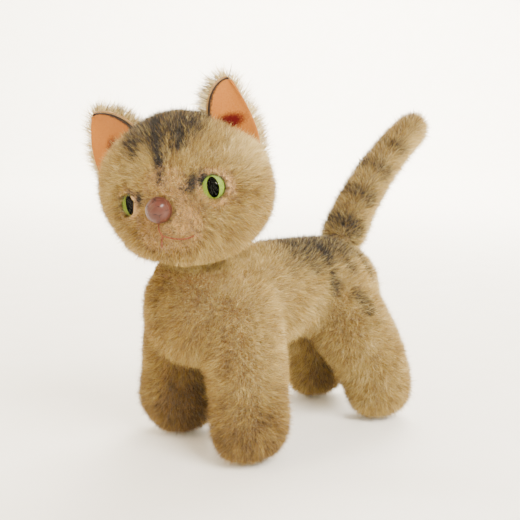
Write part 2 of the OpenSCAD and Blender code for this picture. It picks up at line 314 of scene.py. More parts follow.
@dataclass(frozen=True)
class GreenEnamel:
    """Yellow-green enamel, streaked from the middle and dark round its rim."""

    radius: float
    streak: float = 0.12

    def material(self, centre: Vector) -> Material:
        """Makes the iris.

        Args:
            centre: Middle of the iris in the row frame.

        Returns:
            The enamel, whose rings are centred there.
        """
        material, tree, shader = Surface(roughness=0.4, specular=0.2).start("green_enamel", "#a9bc63")
        place = add_node(tree, "ShaderNodeTexCoord").outputs["Object"]
        offset = add_node(tree, "ShaderNodeVectorMath SUBTRACT", place, tuple(centre))
        reach = add_node(tree, "ShaderNodeVectorMath LENGTH", offset)
        ring = add_node(tree, "ShaderNodeMath DIVIDE", reach, self.radius)
        way = add_node(tree, "ShaderNodeVectorMath NORMALIZE", offset)
        coarse = {"Detail": 2.0, "Roughness": 0.6}
        spokes = add_node(tree, "ShaderNodeTexNoise", Vector=way, Scale=1 / self.streak, **coarse)
        inner = add_node(tree, "ShaderNodeMix", spokes, "#56701a", "#98a83c", data_type="RGBA")
        rim = add_node(tree, "ShaderNodeMapRange", ring, 0.84, 1.0, **SOFT_EDGE)
        colour = add_node(tree, "ShaderNodeMix", rim, inner, "#182606", data_type="RGBA")
        fill(tree, shader.inputs["Base Color"], colour)
        return material


@dataclass(frozen=True)
class BlackEnamel:
    """Black enamel of a pupil, dull behind the glass that gives it its gloss."""

    def material(self) -> Material:
        """Makes the enamel."""
        return Surface(roughness=0.45, specular=0.0).start("black_enamel", "#010101")[0]


@dataclass(frozen=True)
class CrazedButton:
    """Old moulded nose button: mauve-pink, glossy, with dark hairline cracks."""

    cell: float = 3.4 * MM
    wobble: float = 1.2 * MM
    cloud: float = 2.5 * MM
    wear: float = 1.6 * MM
    relief: float = 0.06 * MM

    def material(self) -> Material:
        """Makes the button."""
        surface = Surface(roughness=0.28, specular=0.2, coat=0.22)
        material, tree, shader = surface.start("crazed_nose", "#4e261c")
        place = add_node(tree, "ShaderNodeTexCoord").outputs["Object"]
        wobble = add_node(tree, "ShaderNodeTexNoise", Vector=place, Scale=1 / self.wobble, Detail=3.0)
        shift = add_node(tree, "ShaderNodeVectorMath SCALE", wobble.outputs["Color"], 0.9 * MM)
        bent = add_node(tree, "ShaderNodeVectorMath ADD", place, shift)
        edges = {"feature": "DISTANCE_TO_EDGE"}
        cells = add_node(tree, "ShaderNodeTexVoronoi", Vector=bent, Scale=1 / self.cell, **edges)
        hairline = add_node(tree, "ShaderNodeMapRange", cells, 0.01, 0.05, **SOFT_EDGE)
        cloud = add_node(tree, "ShaderNodeTexNoise", Vector=place, Scale=1 / self.cloud, **SPECKS)
        body = add_node(tree, "ShaderNodeMix", cloud, "#381a12", "#5a3226", data_type="RGBA")
        wear = add_node(tree, "ShaderNodeTexNoise", Vector=place, Scale=1 / self.wear, **SPECKS)
        worn = add_node(tree, "ShaderNodeMapRange", wear, 0.47, 0.56)
        cracked = add_node(tree, "ShaderNodeMix", hairline, "#120604", body, data_type="RGBA")
        colour = add_node(tree, "ShaderNodeMix", worn, body, cracked, data_type="RGBA")
        bump = add_node(tree, "ShaderNodeBump", Height=hairline, Distance=self.relief, Strength=1.0)
        fill(tree, shader.inputs["Base Color"], colour)
        fill(tree, shader.inputs["Normal"], bump)
        return material


@dataclass(frozen=True)
class Thread:
    """Twisted thread: fine, dull plies with uneven dye."""

    name: str
    low: str
    high: str
    fibre: float = 0.35 * MM
    relief: float = 0.05 * MM

    def material(self) -> Material:
        """Makes the thread."""
        material, tree, shader = Surface(roughness=0.8, specular=0.25, sheen=0.3).start(self.name, self.low)
        place = add_node(tree, "ShaderNodeTexCoord").outputs["Object"]
        fibre = add_node(tree, "ShaderNodeTexNoise", Vector=place, Scale=1 / self.fibre, **SPECKS)
        colour = add_node(tree, "ShaderNodeMix", fibre, self.low, self.high, data_type="RGBA")
        bump = add_node(tree, "ShaderNodeBump", Height=fibre, Distance=self.relief, Strength=1.0)
        fill(tree, shader.inputs["Base Color"], colour)
        fill(tree, shader.inputs["Normal"], bump)
        return material


@dataclass(frozen=True)
class Hardboard:
    """Pressed fibre board of the joint discs: brown chips."""

    chip: float = 0.8 * MM
    relief: float = 0.08 * MM

    def material(self) -> Material:
        """Makes the board."""
        material, tree, shader = Surface(roughness=0.8, specular=0.3).start("hardboard", "#7d5c3c")
        place = add_node(tree, "ShaderNodeTexCoord").outputs["Object"]
        fine = {"Detail": 5.0, "Roughness": 0.6}
        chips = add_node(tree, "ShaderNodeTexNoise", Vector=place, Scale=1 / self.chip, **fine)
        colour = add_node(tree, "ShaderNodeMix", chips, "#5d4027", "#96724c", data_type="RGBA")
        bump = add_node(tree, "ShaderNodeBump", Height=chips, Distance=self.relief, Strength=1.0)
        fill(tree, shader.inputs["Base Color"], colour)
        fill(tree, shader.inputs["Normal"], bump)
        return material


@dataclass(frozen=True)
class DulledSteel:
    """Drawn steel wire and stamped washers, dulled with age."""

    grime: float = 1.5 * MM

    def material(self) -> Material:
        """Makes the steel."""
        material, tree, shader = Surface(roughness=0.35, metallic=1.0).start("dulled_steel", "#8d8983")
        place = add_node(tree, "ShaderNodeTexCoord").outputs["Object"]
        grime = add_node(tree, "ShaderNodeTexNoise", Vector=place, Scale=1 / self.grime, **SPECKS)
        rough = add_node(tree, "ShaderNodeMath MULTIPLY_ADD", grime, 0.3, 0.25)
        colour = add_node(tree, "ShaderNodeMix", grime, "#6f6a62", "#a7a39b", data_type="RGBA")
        fill(tree, shader.inputs["Roughness"], rough)
        fill(tree, shader.inputs["Base Color"], colour)
        return material


# ---------------------------------------------------------------- meshes


def new_object(name: str, mesh: Mesh) -> Object:
    """Puts a mesh in the scene as an object at the origin."""
    thing = bpy.data.objects.new(name, mesh)
    bpy.context.scene.collection.objects.link(thing)
    return thing


def drop_object(thing: Object) -> None:
    """Removes a scratch object and its mesh or curve."""
    data = thing.data
    bpy.data.objects.remove(thing)
    if data.users == 0:
        (bpy.data.meshes if isinstance(data, Mesh) else bpy.data.curves).remove(data)


def plain_mesh(thing: Object, name: str) -> Mesh:
    """Returns what an object's modifiers make of it, as a plain mesh."""
    bpy.context.view_layer.update()
    graph = bpy.context.evaluated_depsgraph_get()
    solved = thing.evaluated_get(graph)
    mesh = bpy.data.meshes.new_from_object(solved, preserve_all_data_layers=True, depsgraph=graph)
    mesh.name = name
    return mesh


def reworked(mesh: Mesh, kind: str, **settings: object) -> Mesh:
    """Puts a mesh through one modifier.

    Args:
        mesh: The mesh, which is used up.
        kind: The modifier's type.
        **settings: The modifier's settings.

    Returns:
        The new mesh.
    """
    scratch = new_object("scratch", mesh)
    modifier = scratch.modifiers.new("work", kind)
    for name, value in settings.items():
        setattr(modifier, name, value)
    made = plain_mesh(scratch, mesh.name)
    drop_object(scratch)
    return made


def through_tree(source: Mesh, tree: NodeTree, name: str, **values: float) -> Mesh:
    """Puts a mesh through a geometry tree.

    Args:
        source: The mesh, which is used up.
        tree: The tree, which is used up too.
        name: Name of the new mesh.
        **values: The tree's own inputs, by name.

    Returns:
        What the tree makes, as a plain mesh.
    """
    scratch = new_object("scratch", source)
    modifier = scratch.modifiers.new("tree", "NODES")
    modifier.node_group = tree
    for item in tree.interface.items_tree:
        if item.in_out == "INPUT" and item.name in values:
            modifier[item.identifier] = values[item.name]
    made = plain_mesh(scratch, name)
    drop_object(scratch)
    bpy.data.node_groups.remove(tree)
    return made


def positions(mesh: Mesh) -> Points:
    """Returns a mesh's vertices as rows of x, y, z."""
    flat = np.zeros(len(mesh.vertices) * 3, np.float32)
    mesh.vertices.foreach_get("co", flat)
    return flat.reshape(-1, 3).astype(float)


def normals(mesh: Mesh) -> Points:
    """Returns a mesh's vertex normals as rows of x, y, z."""
    flat = np.zeros(len(mesh.vertices) * 3, np.float32)
    mesh.vertex_normals.foreach_get("vector", flat)
    return flat.reshape(-1, 3).astype(float)


def move_to(mesh: Mesh, rows: Points) -> None:
    """Moves a mesh's vertices to rows of x, y, z."""
    mesh.vertices.foreach_set("co", rows.astype(np.float32).ravel())
    mesh.update()


def smooth_step(low: float, high: float, value: Points) -> Points:
    """Returns 0 below low, 1 above high and a smooth rise between."""
    share = np.clip((value - low) / (high - low), 0, 1)
    return share * share * (3 - 2 * share)


def unit(rows: Points) -> Points:
    """Returns rows of vectors made one long."""
    return rows / np.maximum(np.linalg.norm(rows, axis=1, keepdims=True), 1e-9)


def placed(rows: Points, place: Matrix) -> Points:
    """Returns rows of points moved and turned by a matrix."""
    turn = np.array(place)
    return rows @ turn[:3, :3].T + turn[:3, 3]


def ball(work: BMesh, centre: Vector, radius: float) -> None:
    """Adds a ball to a mesh."""
    bmesh.ops.create_icosphere(work, subdivisions=3, radius=radius, matrix=Matrix.Translation(centre))


def drum(work: BMesh, centre: Vector, radius: float, height: float) -> None:
    """Adds an upright drum to a mesh."""
    bmesh.ops.create_cone(
        work,
        cap_ends=True,
        segments=32,
        radius1=radius,
        radius2=radius,
        depth=height,
        matrix=Matrix.Translation(centre),
    )


# ---------------------------------------------------------------- where things are


@dataclass(frozen=True)
class HeadPlace:
    """How the head sits at rest: turned to the kitten's left and leaning to its right."""

    forward: float = 7 * MM
    height: float = 89 * MM
    turn: float = math.radians(37)
    lean: float = math.radians(13)

    def matrix(self) -> Matrix:
        """Returns the turn from the head's own axes to the row frame."""
        neck = frame["joints"][0]["pos_m"]
        return (
            Matrix.Translation((neck[0], neck[1], 0))
            @ Matrix.Rotation(self.turn, 4, "Z")
            @ Matrix.Translation((0, -self.forward, self.height))
            @ Matrix.Rotation(-self.lean, 4, "Y")
        )


HEAD = HeadPlace().matrix()


class Side(Enum):
    """The kitten's own left and right."""

    LEFT = 1
    RIGHT = -1

    @property
    def word(self) -> str:
        """The side as it stands in a piece's name."""
        return self.name.lower()


@dataclass(frozen=True)
class Marking:
    """An airbrushed stroke: its two ends in millimetres, its half width and its strength."""

    start: tuple[float, float]
    end: tuple[float, float]
    width: float
    strength: float = 1.0

    def shade(self, flat: Points) -> Points:
        """Returns how dark the stroke makes each point, from 0 to 1.

        Args:
            flat: Rows of two coordinates in millimetres, in the plane that the stroke is drawn in.

        Returns:
            One value for each point.
        """
        start = np.array(self.start)
        run = np.array(self.end) - start
        share = np.clip(((flat - start) @ run) / max(float(run @ run), 1e-9), 0, 1)
        away = np.linalg.norm(flat - start - share[:, None] * run, axis=1)
        return self.strength * (1 - smooth_step(0.3, 1.0, away / self.width))


def shaded(flat: Points, markings: tuple[Marking, ...]) -> Points:
    """Returns the darkest of several strokes at each point."""
    return np.max([marking.shade(flat) for marking in markings], axis=0)


# ---------------------------------------------------------------- pile


CREAM_SHADES = (
    MohairShade("ivory", "#dfcb90"),
    MohairShade("cream", "#cdb573"),
    MohairShade("straw", "#b79d59"),
    MohairShade("honey", "#9f8040"),
    MohairShade("amber", "#80622b"),
    MohairShade("tan", "#5c431b"),
)
DARK_SHADES = (
    MohairShade("smoke", "#66543a"),
    MohairShade("bark", "#3e3222"),
    MohairShade("soot", "#15110c"),
)


@dataclass(frozen=True)
class Pile:
    """Mohair pile on one panel: how close, long and unruly its strands are."""

    per_mm2: float = 20.0
    width: float = 0.16 * MM
    lean: float = 0.2
    jitter: float = 0.34
    clump: float = 0.3
    seed: int = 1
    tuft: float = 2.6 * MM
    mottle: float = 1.1 * MM
    ground: float = 0.15 * MM
    wisp_rarity: float = 12.0
    wisp_extra: float = 0.6
    bends: tuple[float, ...] = (-0.34, -0.12, 0.16, 0.4)
    draws: tuple[tuple[str, float, float], ...] = (
        ("tone", -0.28, 0.28),
        ("depth", -0.45, 0.3),
        ("fleck", 0.02, 0.98),
        ("spin", 0.0, 2 * math.pi),
        ("length", 0.78, 1.06),
        ("wisp", 0.0, 1.0),
        ("girth", 0.7, 1.25),
        ("blade", 0.0, 3.999),
    )

    def tree(self, shades: list[Material]) -> NodeTree:
        """Builds the tree that plants strands on a panel.

        The panel carries the attributes pile (strand length in metres), comb (which way the nap
        lies), dark (share of dark strands), tone (0 for pale to 1 for brown, which in places holds
        painted shade and a painted highlight) and thick (share of the strands that grow).

        Args:
            shades: Pale shades, then the dark ones.

        Returns:
            A tree with the inputs Panel, Strands, Width, Lean, Jitter, Clump and Seed.
        """
        sizes = dict.fromkeys(("Strands", "Width", "Lean", "Jitter", "Clump"), "Float")
        tree = new_tree("mohair_pile", "Pile", {"Panel": "Geometry", **sizes, "Seed": "Int"})
        given = add_node(tree, "NodeGroupInput").outputs
        coat = {
            name: add_node(tree, "GeometryNodeInputNamedAttribute", name, data_type=kind)
            for name, kind in Coat.kinds().items()
        }
        drawn = {}
        for offset, (use, low, high) in enumerate(self.draws, 11):
            seed = add_node(tree, "ShaderNodeMath ADD", given["Seed"], float(offset))
            limits = {"Min": low, "Max": high}
            drawn[use] = add_node(tree, "FunctionNodeRandomValue", Seed=seed, data_type="FLOAT", **limits)
        place = add_node(tree, "GeometryNodeInputPosition")
        roots = add_node(
            tree,
            "GeometryNodeDistributePointsOnFaces",
            Mesh=given["Panel"],
            Density=add_node(tree, "ShaderNodeMath MULTIPLY", given["Strands"], coat["thick"]),
            Seed=given["Seed"],
            distribute_method="RANDOM",
        )
        heading = self._heading(tree, given, coat["comb"], roots.outputs["Normal"])
        marked = add_node(
            tree,
            "GeometryNodeStoreNamedAttribute",
            Geometry=roots,
            Name="shade",
            Value=self._shade(tree, coat, drawn),
            data_type="FLOAT",
            domain="POINT",
        )
        strands = add_node(tree, "GeometryNodeJoinGeometry")
        for bend in self.bends:
            single = add_node(tree, "GeometryNodeGeometryToInstance", self._blade(tree, bend))
            fill(tree, strands.inputs[0], single)
        wisp = add_node(tree, "ShaderNodeMath POWER", drawn["wisp"], self.wisp_rarity)
        uneven = add_node(tree, "ShaderNodeMath MULTIPLY_ADD", wisp, self.wisp_extra, drawn["length"])
        length = add_node(tree, "ShaderNodeMath MULTIPLY", coat["pile"], uneven)
        girth = add_node(tree, "ShaderNodeMath MULTIPLY", given["Width"], drawn["girth"])
        upright = add_node(tree, "FunctionNodeAlignRotationToVector", Vector=heading, axis="Z")
        spin = add_node(tree, "FunctionNodeAxisAngleToRotation", Axis=(0.0, 0.0, 1.0), Angle=drawn["spin"])
        own = {"rotation_space": "LOCAL"}
        turned = add_node(tree, "FunctionNodeRotateRotation", Rotation=upright, Rotate_By=spin, **own)
        planted = add_node(
            tree,
            "GeometryNodeInstanceOnPoints",
            Points=marked,
            Instance=strands,
            Pick_Instance=True,
            Instance_Index=add_node(tree, "ShaderNodeMath FLOOR", drawn["blade"]),
            Rotation=turned,
            Scale=add_node(tree, "ShaderNodeCombineXYZ", girth, length, length),
        )
        real = add_node(tree, "GeometryNodeRealizeInstances", planted)
        x, y, z = add_node(tree, "ShaderNodeSeparateXYZ", place).outputs
        kept_up = add_node(tree, "ShaderNodeMath MAXIMUM", z, self.ground)
        above = add_node(tree, "ShaderNodeCombineXYZ", x, y, kept_up)
        pile = add_node(tree, "GeometryNodeSetPosition", Geometry=real, Position=above)
        stored = add_node(tree, "GeometryNodeInputNamedAttribute", "shade", data_type="FLOAT")
        for index, material in enumerate(shades):
            gap = add_node(tree, "ShaderNodeMath SUBTRACT", stored, float(index))
            gap = add_node(tree, "ShaderNodeMath ABSOLUTE", gap)
            chosen = add_node(tree, "ShaderNodeMath LESS_THAN", gap, 0.5)
            pile = add_node(tree, "GeometryNodeSetMaterial", pile, Selection=chosen, Material=material)
        add_node(tree, "NodeGroupOutput", pile)
        return tree

    def _heading(
        self,
        tree: NodeTree,
        given: dict[str, NodeSocket],
        comb: Node,
        normal: NodeSocket,
    ) -> Node:
        """Adds the way each strand points: up from the cloth, along the nap, astray and in tufts.

        Args:
            tree: Tree that it goes into.
            given: The tree's own inputs.
            comb: Which way the nap lies.
            normal: Which way the cloth faces.

        Returns:
            The strand's direction.
        """
        place = add_node(tree, "GeometryNodeInputPosition")
        tuft = add_node(tree, "ShaderNodeTexNoise", Vector=place, Scale=1 / self.tuft, Detail=2.0)
        tuft = add_node(tree, "ShaderNodeVectorMath SUBTRACT", tuft.outputs["Color"], (0.5, 0.5, 0.5))
        clump = add_node(tree, "ShaderNodeMath MULTIPLY", given["Clump"], 4.0)
        stray = add_node(
            tree,
            "FunctionNodeRandomValue",
            Min=(-1.0, -1.0, -1.0),
            Max=(1.0, 1.0, 1.0),
            Seed=given["Seed"],
            data_type="FLOAT_VECTOR",
        )
        heading = normal
        for way, share in ((comb, given["Lean"]), (stray, given["Jitter"]), (tuft, clump)):
            push = add_node(tree, "ShaderNodeVectorMath SCALE", way, share)
            heading = add_node(tree, "ShaderNodeVectorMath ADD", heading, push)
        return heading

    def _shade(
        self,
        tree: NodeTree,
        coat: dict[str, Node],
        drawn: dict[str, Node],
    ) -> Node:
        """Adds the choice of each strand's shade.

        Args:
            tree: Tree that it goes into.
            coat: The panel's attributes.
            drawn: The strand's random numbers.

        Returns:
            The number of the shade: the pale ones, then the dark ones.
        """
        place = add_node(tree, "GeometryNodeInputPosition")
        blotch = add_node(tree, "ShaderNodeTexNoise", Vector=place, Scale=1 / self.mottle, Detail=2.0)
        blotch = add_node(tree, "ShaderNodeMath SUBTRACT", blotch, 0.5)
        mottled = add_node(tree, "ShaderNodeMath MULTIPLY", blotch, 1.1)
        scatter = add_node(tree, "ShaderNodeMath ADD", mottled, drawn["tone"])
        tone = add_node(tree, "ShaderNodeMath ADD", coat["tone"], scatter, use_clamp=True)
        tone = add_node(tree, "ShaderNodeMath MULTIPLY", tone, len(CREAM_SHADES) - 1.0)
        pale = add_node(tree, "ShaderNodeMath ROUND", tone)
        scatter = add_node(tree, "ShaderNodeMath ADD", mottled, drawn["depth"])
        depth = add_node(tree, "ShaderNodeMath ADD", coat["dark"], scatter, use_clamp=True)
        depth = add_node(tree, "ShaderNodeMath MULTIPLY", depth, len(DARK_SHADES) - 1.0)
        depth = add_node(tree, "ShaderNodeMath ROUND", depth)
        dark = add_node(tree, "ShaderNodeMath ADD", depth, float(len(CREAM_SHADES)))
        flecked = add_node(tree, "ShaderNodeMath MULTIPLY_ADD", mottled, 0.5, coat["dark"])
        is_dark = add_node(tree, "ShaderNodeMath GREATER_THAN", flecked, drawn["fleck"])
        step = add_node(tree, "ShaderNodeMath SUBTRACT", dark, pale)
        step = add_node(tree, "ShaderNodeMath MULTIPLY", is_dark, step)
        return add_node(tree, "ShaderNodeMath ADD", pale, step)

    @staticmethod
    def _blade(tree: NodeTree, bend: float) -> Node:
        """Adds one strand shape: three triangles, tapered to its tip and bent.

        Args:
            tree: Tree that it goes into.
            bend: How far the tip leans over, as a share of the length.

        Returns:
            The strand, one long and one wide, standing on the origin.
        """
        grid = add_node(tree, "GeometryNodeMeshGrid", Size_X=1.0, Size_Y=1.0, Vertices_X=2, Vertices_Y=3)
        place = add_node(tree, "GeometryNodeInputPosition")
        across, along, _ = add_node(tree, "ShaderNodeSeparateXYZ", place).outputs
        rise = add_node(tree, "ShaderNodeMath ADD", along, 0.5)
        left_over = add_node(tree, "ShaderNodeMath SUBTRACT", 1.0, rise, use_clamp=True)
        taper = add_node(tree, "ShaderNodeMath POWER", left_over, 0.5)
        side = add_node(tree, "ShaderNodeMath MULTIPLY", across, taper)
        square = add_node(tree, "ShaderNodeMath MULTIPLY", rise, rise)
        bow = add_node(tree, "ShaderNodeMath MULTIPLY", square, bend)
        shape = add_node(tree, "ShaderNodeCombineXYZ", side, bow, rise)
        bent = add_node(tree, "GeometryNodeSetPosition", Geometry=grid, Position=shape)
        return add_node(tree, "GeometryNodeMergeByDistance", Geometry=bent, Distance=0.001)

    def grow(self, name: str, panel: Mesh, shades: list[Material]) -> Object:
        """Grows the pile of one panel.

        Args:
            name: Name of the new piece.
            panel: The panel's outer face, with its attributes. It is used up.
            shades: Pale shades, then the dark ones.

        Returns:
            The pile as a plain mesh piece.
        """
        mesh = through_tree(
            panel,
            self.tree(shades),
            name,
            Strands=self.per_mm2 / (MM * MM),
            Width=self.width,
            Lean=self.lean,
            Jitter=self.jitter,
            Clump=self.clump,
            Seed=self.seed,
        )
        for layer in list(mesh.attributes):
            if layer.name == "shade" or layer.name in Coat.kinds():
                mesh.attributes.remove(layer)
        return new_object(name, mesh)


@dataclass
class Coat:
    """What the pile does at each point of a skin."""

    pile: Points
    comb: Points
    dark: Points
    tone: Points
    thick: Points

    @classmethod
    def kinds(cls) -> dict[str, str]:
        """Returns the kind of each attribute, under its name."""
        return {part.name: "FLOAT_VECTOR" if part.name == "comb" else "FLOAT" for part in fields(cls)}

    def write(self, mesh: Mesh, normal: Points) -> None:
        """Stores the coat on a mesh as attributes, with the nap laid along the surface."""
        flat = self.comb - normal * np.sum(self.comb * normal, axis=1, keepdims=True)
        for name in ("pile", "dark", "tone", "thick"):
            layer = mesh.attributes.new(name, "FLOAT", "POINT")
            layer.data.foreach_set("value", getattr(self, name).astype(np.float32))
        layer = mesh.attributes.new("comb", "FLOAT_VECTOR", "POINT")
        layer.data.foreach_set("vector", flat.astype(np.float32).ravel())


def near_line(
    rows: Points, line: tuple[tuple[float, float, float], ...], reach: float
) -> tuple[Points, Points]:
    """Tells how near each point is to a line of points.

    Args:
        rows: Points in millimetres.
        line: The line's points in millimetres.
        reach: Where the nearness falls to nothing, in millimetres.

    Returns:
        1 on the line to 0 at the reach and beyond, and the way out from the line.
    """
    nearest = np.full(len(rows), np.inf)
    away = np.zeros((len(rows), 3))
    for start, end in zip(np.array(line), np.array(line)[1:]):
        way = end - start
        share = np.clip((rows - start) @ way / (way @ way), 0, 1)
        offset = rows - start - share[:, None] * way
        length = np.linalg.norm(offset, axis=1)
        closer = length < nearest
        nearest[closer] = length[closer]
        away[closer] = offset[closer]
    return 1 - smooth_step(0.2, 1.0, nearest / reach), unit(away)


def rubbed(rows: Points) -> Points:
    """Tells where the head's turning wears the pile short, 0 to 1, from points in millimetres."""
    neck = np.array(frame["joints"][0]["pos_m"]) / MM
    out_from_pin = np.hypot(rows[:, 0] - neck[0], rows[:, 1] - neck[1])
    level = np.abs(rows[:, 2] - neck[2] - 1)
    return (1 - smooth_step(15, 23, out_from_pin)) * (1 - smooth_step(4, 8, level))


def patches(rows: Points, size: float, seed: float) -> Points:
    """Returns soft blotches from -1 to 1 over rows of points, from a few sine waves.

    Args:
        rows: Points in metres.
        size: How far it is from one blotch to the next, in metres.
        seed: Shifts the pattern.

    Returns:
        One value for each point.
    """
    turns = rows * (2 * math.pi / size)
    x, y, z = turns[:, 0], turns[:, 1], turns[:, 2]
    first = np.sin(x + 1.7 * np.sin(0.6 * z + seed) + seed) * np.cos(0.8 * y - 0.9 * z + 2 * seed)
    second = np.sin(1.9 * z - 1.3 * x + 3 * seed) * np.cos(1.6 * y + 0.7 * x - seed)
    return 0.6 * first + 0.4 * second


# ---------------------------------------------------------------- padded skins


@dataclass(frozen=True)
class Padding:
    """How a stuffed skin is swelled, and how fine its mesh is."""

    voxel: float = 2.2 * MM
    pressure: float = 4.0
    last_step: int = 16
    most_swell: float = 0.9 * MM
    smooth_passes: int = 6
    cloth: float = 0.55 * MM

    def swell(self, mesh: Mesh) -> Mesh:
        """Blows a closed skin up a little with a cloth simulation, as packed stuffing does.

        Args:
            mesh: A closed skin, which is used up.

        Returns:
            The stretched skin.
        """
        start = positions(mesh)
        scratch = new_object("scratch_skin", mesh)
        cloth = scratch.modifiers.new("stuffing", "CLOTH")
        settings = cloth.settings
        settings.use_pressure = True
        settings.uniform_pressure_force = self.pressure
        settings.effector_weights.gravity = 0.0
        settings.tension_stiffness = 40.0
        settings.compression_stiffness = 40.0
        settings.mass = 0.2
        scene = bpy.context.scene
        for step in range(1, self.last_step + 1):
            scene.frame_set(step)
        made = plain_mesh(scratch, mesh.name)
        drop_object(scratch)
        scene.frame_set(1)
        move = positions(made) - start
        far = np.linalg.norm(move, axis=1, keepdims=True)
        move *= np.minimum(1.0, self.most_swell / np.maximum(far, 1e-9))
        move_to(made, start + move)
        return made

    def skin(self, name: str, node: str, fillers: BMesh | None) -> Mesh:
        """Makes a fine, even, swelled skin from a packed stuffing solid.

        Args:
            name: Name of the mesh.
            node: The stuffing's node.
            fillers: Solids that close its pockets, or None.

        Returns:
            A closed skin, with an edge of about 1 mm.
        """
        source = frame["nodes"][node].data.copy()
        work = bmesh.new()
        work.from_mesh(source)
        bmesh.ops.remove_doubles(work, verts=work.verts, dist=1e-6)
        if fillers is not None:
            extra = bpy.data.meshes.new("fillers")
            fillers.to_mesh(extra)
            fillers.free()
            work.from_mesh(extra)
            bpy.data.meshes.remove(extra)
        work.to_mesh(source)
        work.free()
        source.materials.clear()
        source.name = name
        even = reworked(source, "REMESH", mode="VOXEL", voxel_size=self.voxel)
        even = reworked(even, "SMOOTH", factor=0.5, iterations=self.smooth_passes)
        even = self.swell(even)
        return reworked(even, "SUBSURF", levels=1, render_levels=1)


def slice_mesh(mesh: Mesh, name: str, keep: np.ndarray) -> Mesh:
    """Copies the faces of a mesh whose middles are marked to keep.

    Args:
        mesh: The whole skin.
        name: Name of the new mesh.
        keep: One truth value for each face.

    Returns:
        The panel, with the skin's attributes.
    """
    panel = mesh.copy()
    panel.name = name
    work = bmesh.new()
    work.from_mesh(panel)
    work.faces.ensure_lookup_table()
    bmesh.ops.delete(work, geom=[work.faces[i] for i in np.flatnonzero(~keep)], context="FACES")
    work.to_mesh(panel)
    work.free()
    return panel


def face_middles(mesh: Mesh) -> Points:
    """Returns the middle of each face as rows of x, y, z."""
    flat = np.zeros(len(mesh.polygons) * 3, np.float32)
    mesh.polygons.foreach_get("center", flat)
    return flat.reshape(-1, 3).astype(float)


def seamed(
    skin: Mesh, own: Matrix, half: float, level: float, above: bool
) -> tuple[np.ndarray, np.ndarray, np.ndarray]:
    """Cuts a skin's faces along the middle and round a gusset, and says which panel each is in.

    Args:
        skin: The skin, whose faces are cut but not parted.
        own: Turns the form's own axes to the row frame.
        half: Half the gusset's width.
        level: Height at which the gusset ends.
        above: Whether the gusset lies above that height.

    Returns:
        Which faces are the left side's, the right side's and the gusset's.
    """
    work = bmesh.new()
    work.from_mesh(skin)
    turn = own.to_3x3()
    for spot, across in (
        ((0, 0, 0), (1, 0, 0)),
        ((half, 0, 0), (1, 0, 0)),
        ((-half, 0, 0), (1, 0, 0)),
        ((0, 0, level), (0, 0, 1)),
    ):
        everything = work.verts[:] + work.edges[:] + work.faces[:]
        plane = {"plane_co": own @ Vector(spot), "plane_no": turn @ Vector(across)}
        bmesh.ops.bisect_plane(work, geom=everything, dist=1e-6, **plane)
    work.to_mesh(skin)
    work.free()
    middle = placed(face_middles(skin), own.inverted())
    gusset = (np.abs(middle[:, 0]) < half) & ((middle[:, 2] > level) == above)
    left = ~gusset & (middle[:, 0] > 0)
    return left, ~gusset & ~left, gusset




@dataclass(frozen=True)
class Finishes:
    """The pile, cloth and stuffing finishes, made once."""

    strands: list[Material]
    backing: Material
    stuffing: Material

    @classmethod
    def make(cls) -> "Finishes":
        """Makes the cloth, the pile and the stuffing finishes."""
        shades = [shade.material() for shade in CREAM_SHADES + DARK_SHADES]
        return cls(shades, WovenBacking().material(), WoodWool().material())


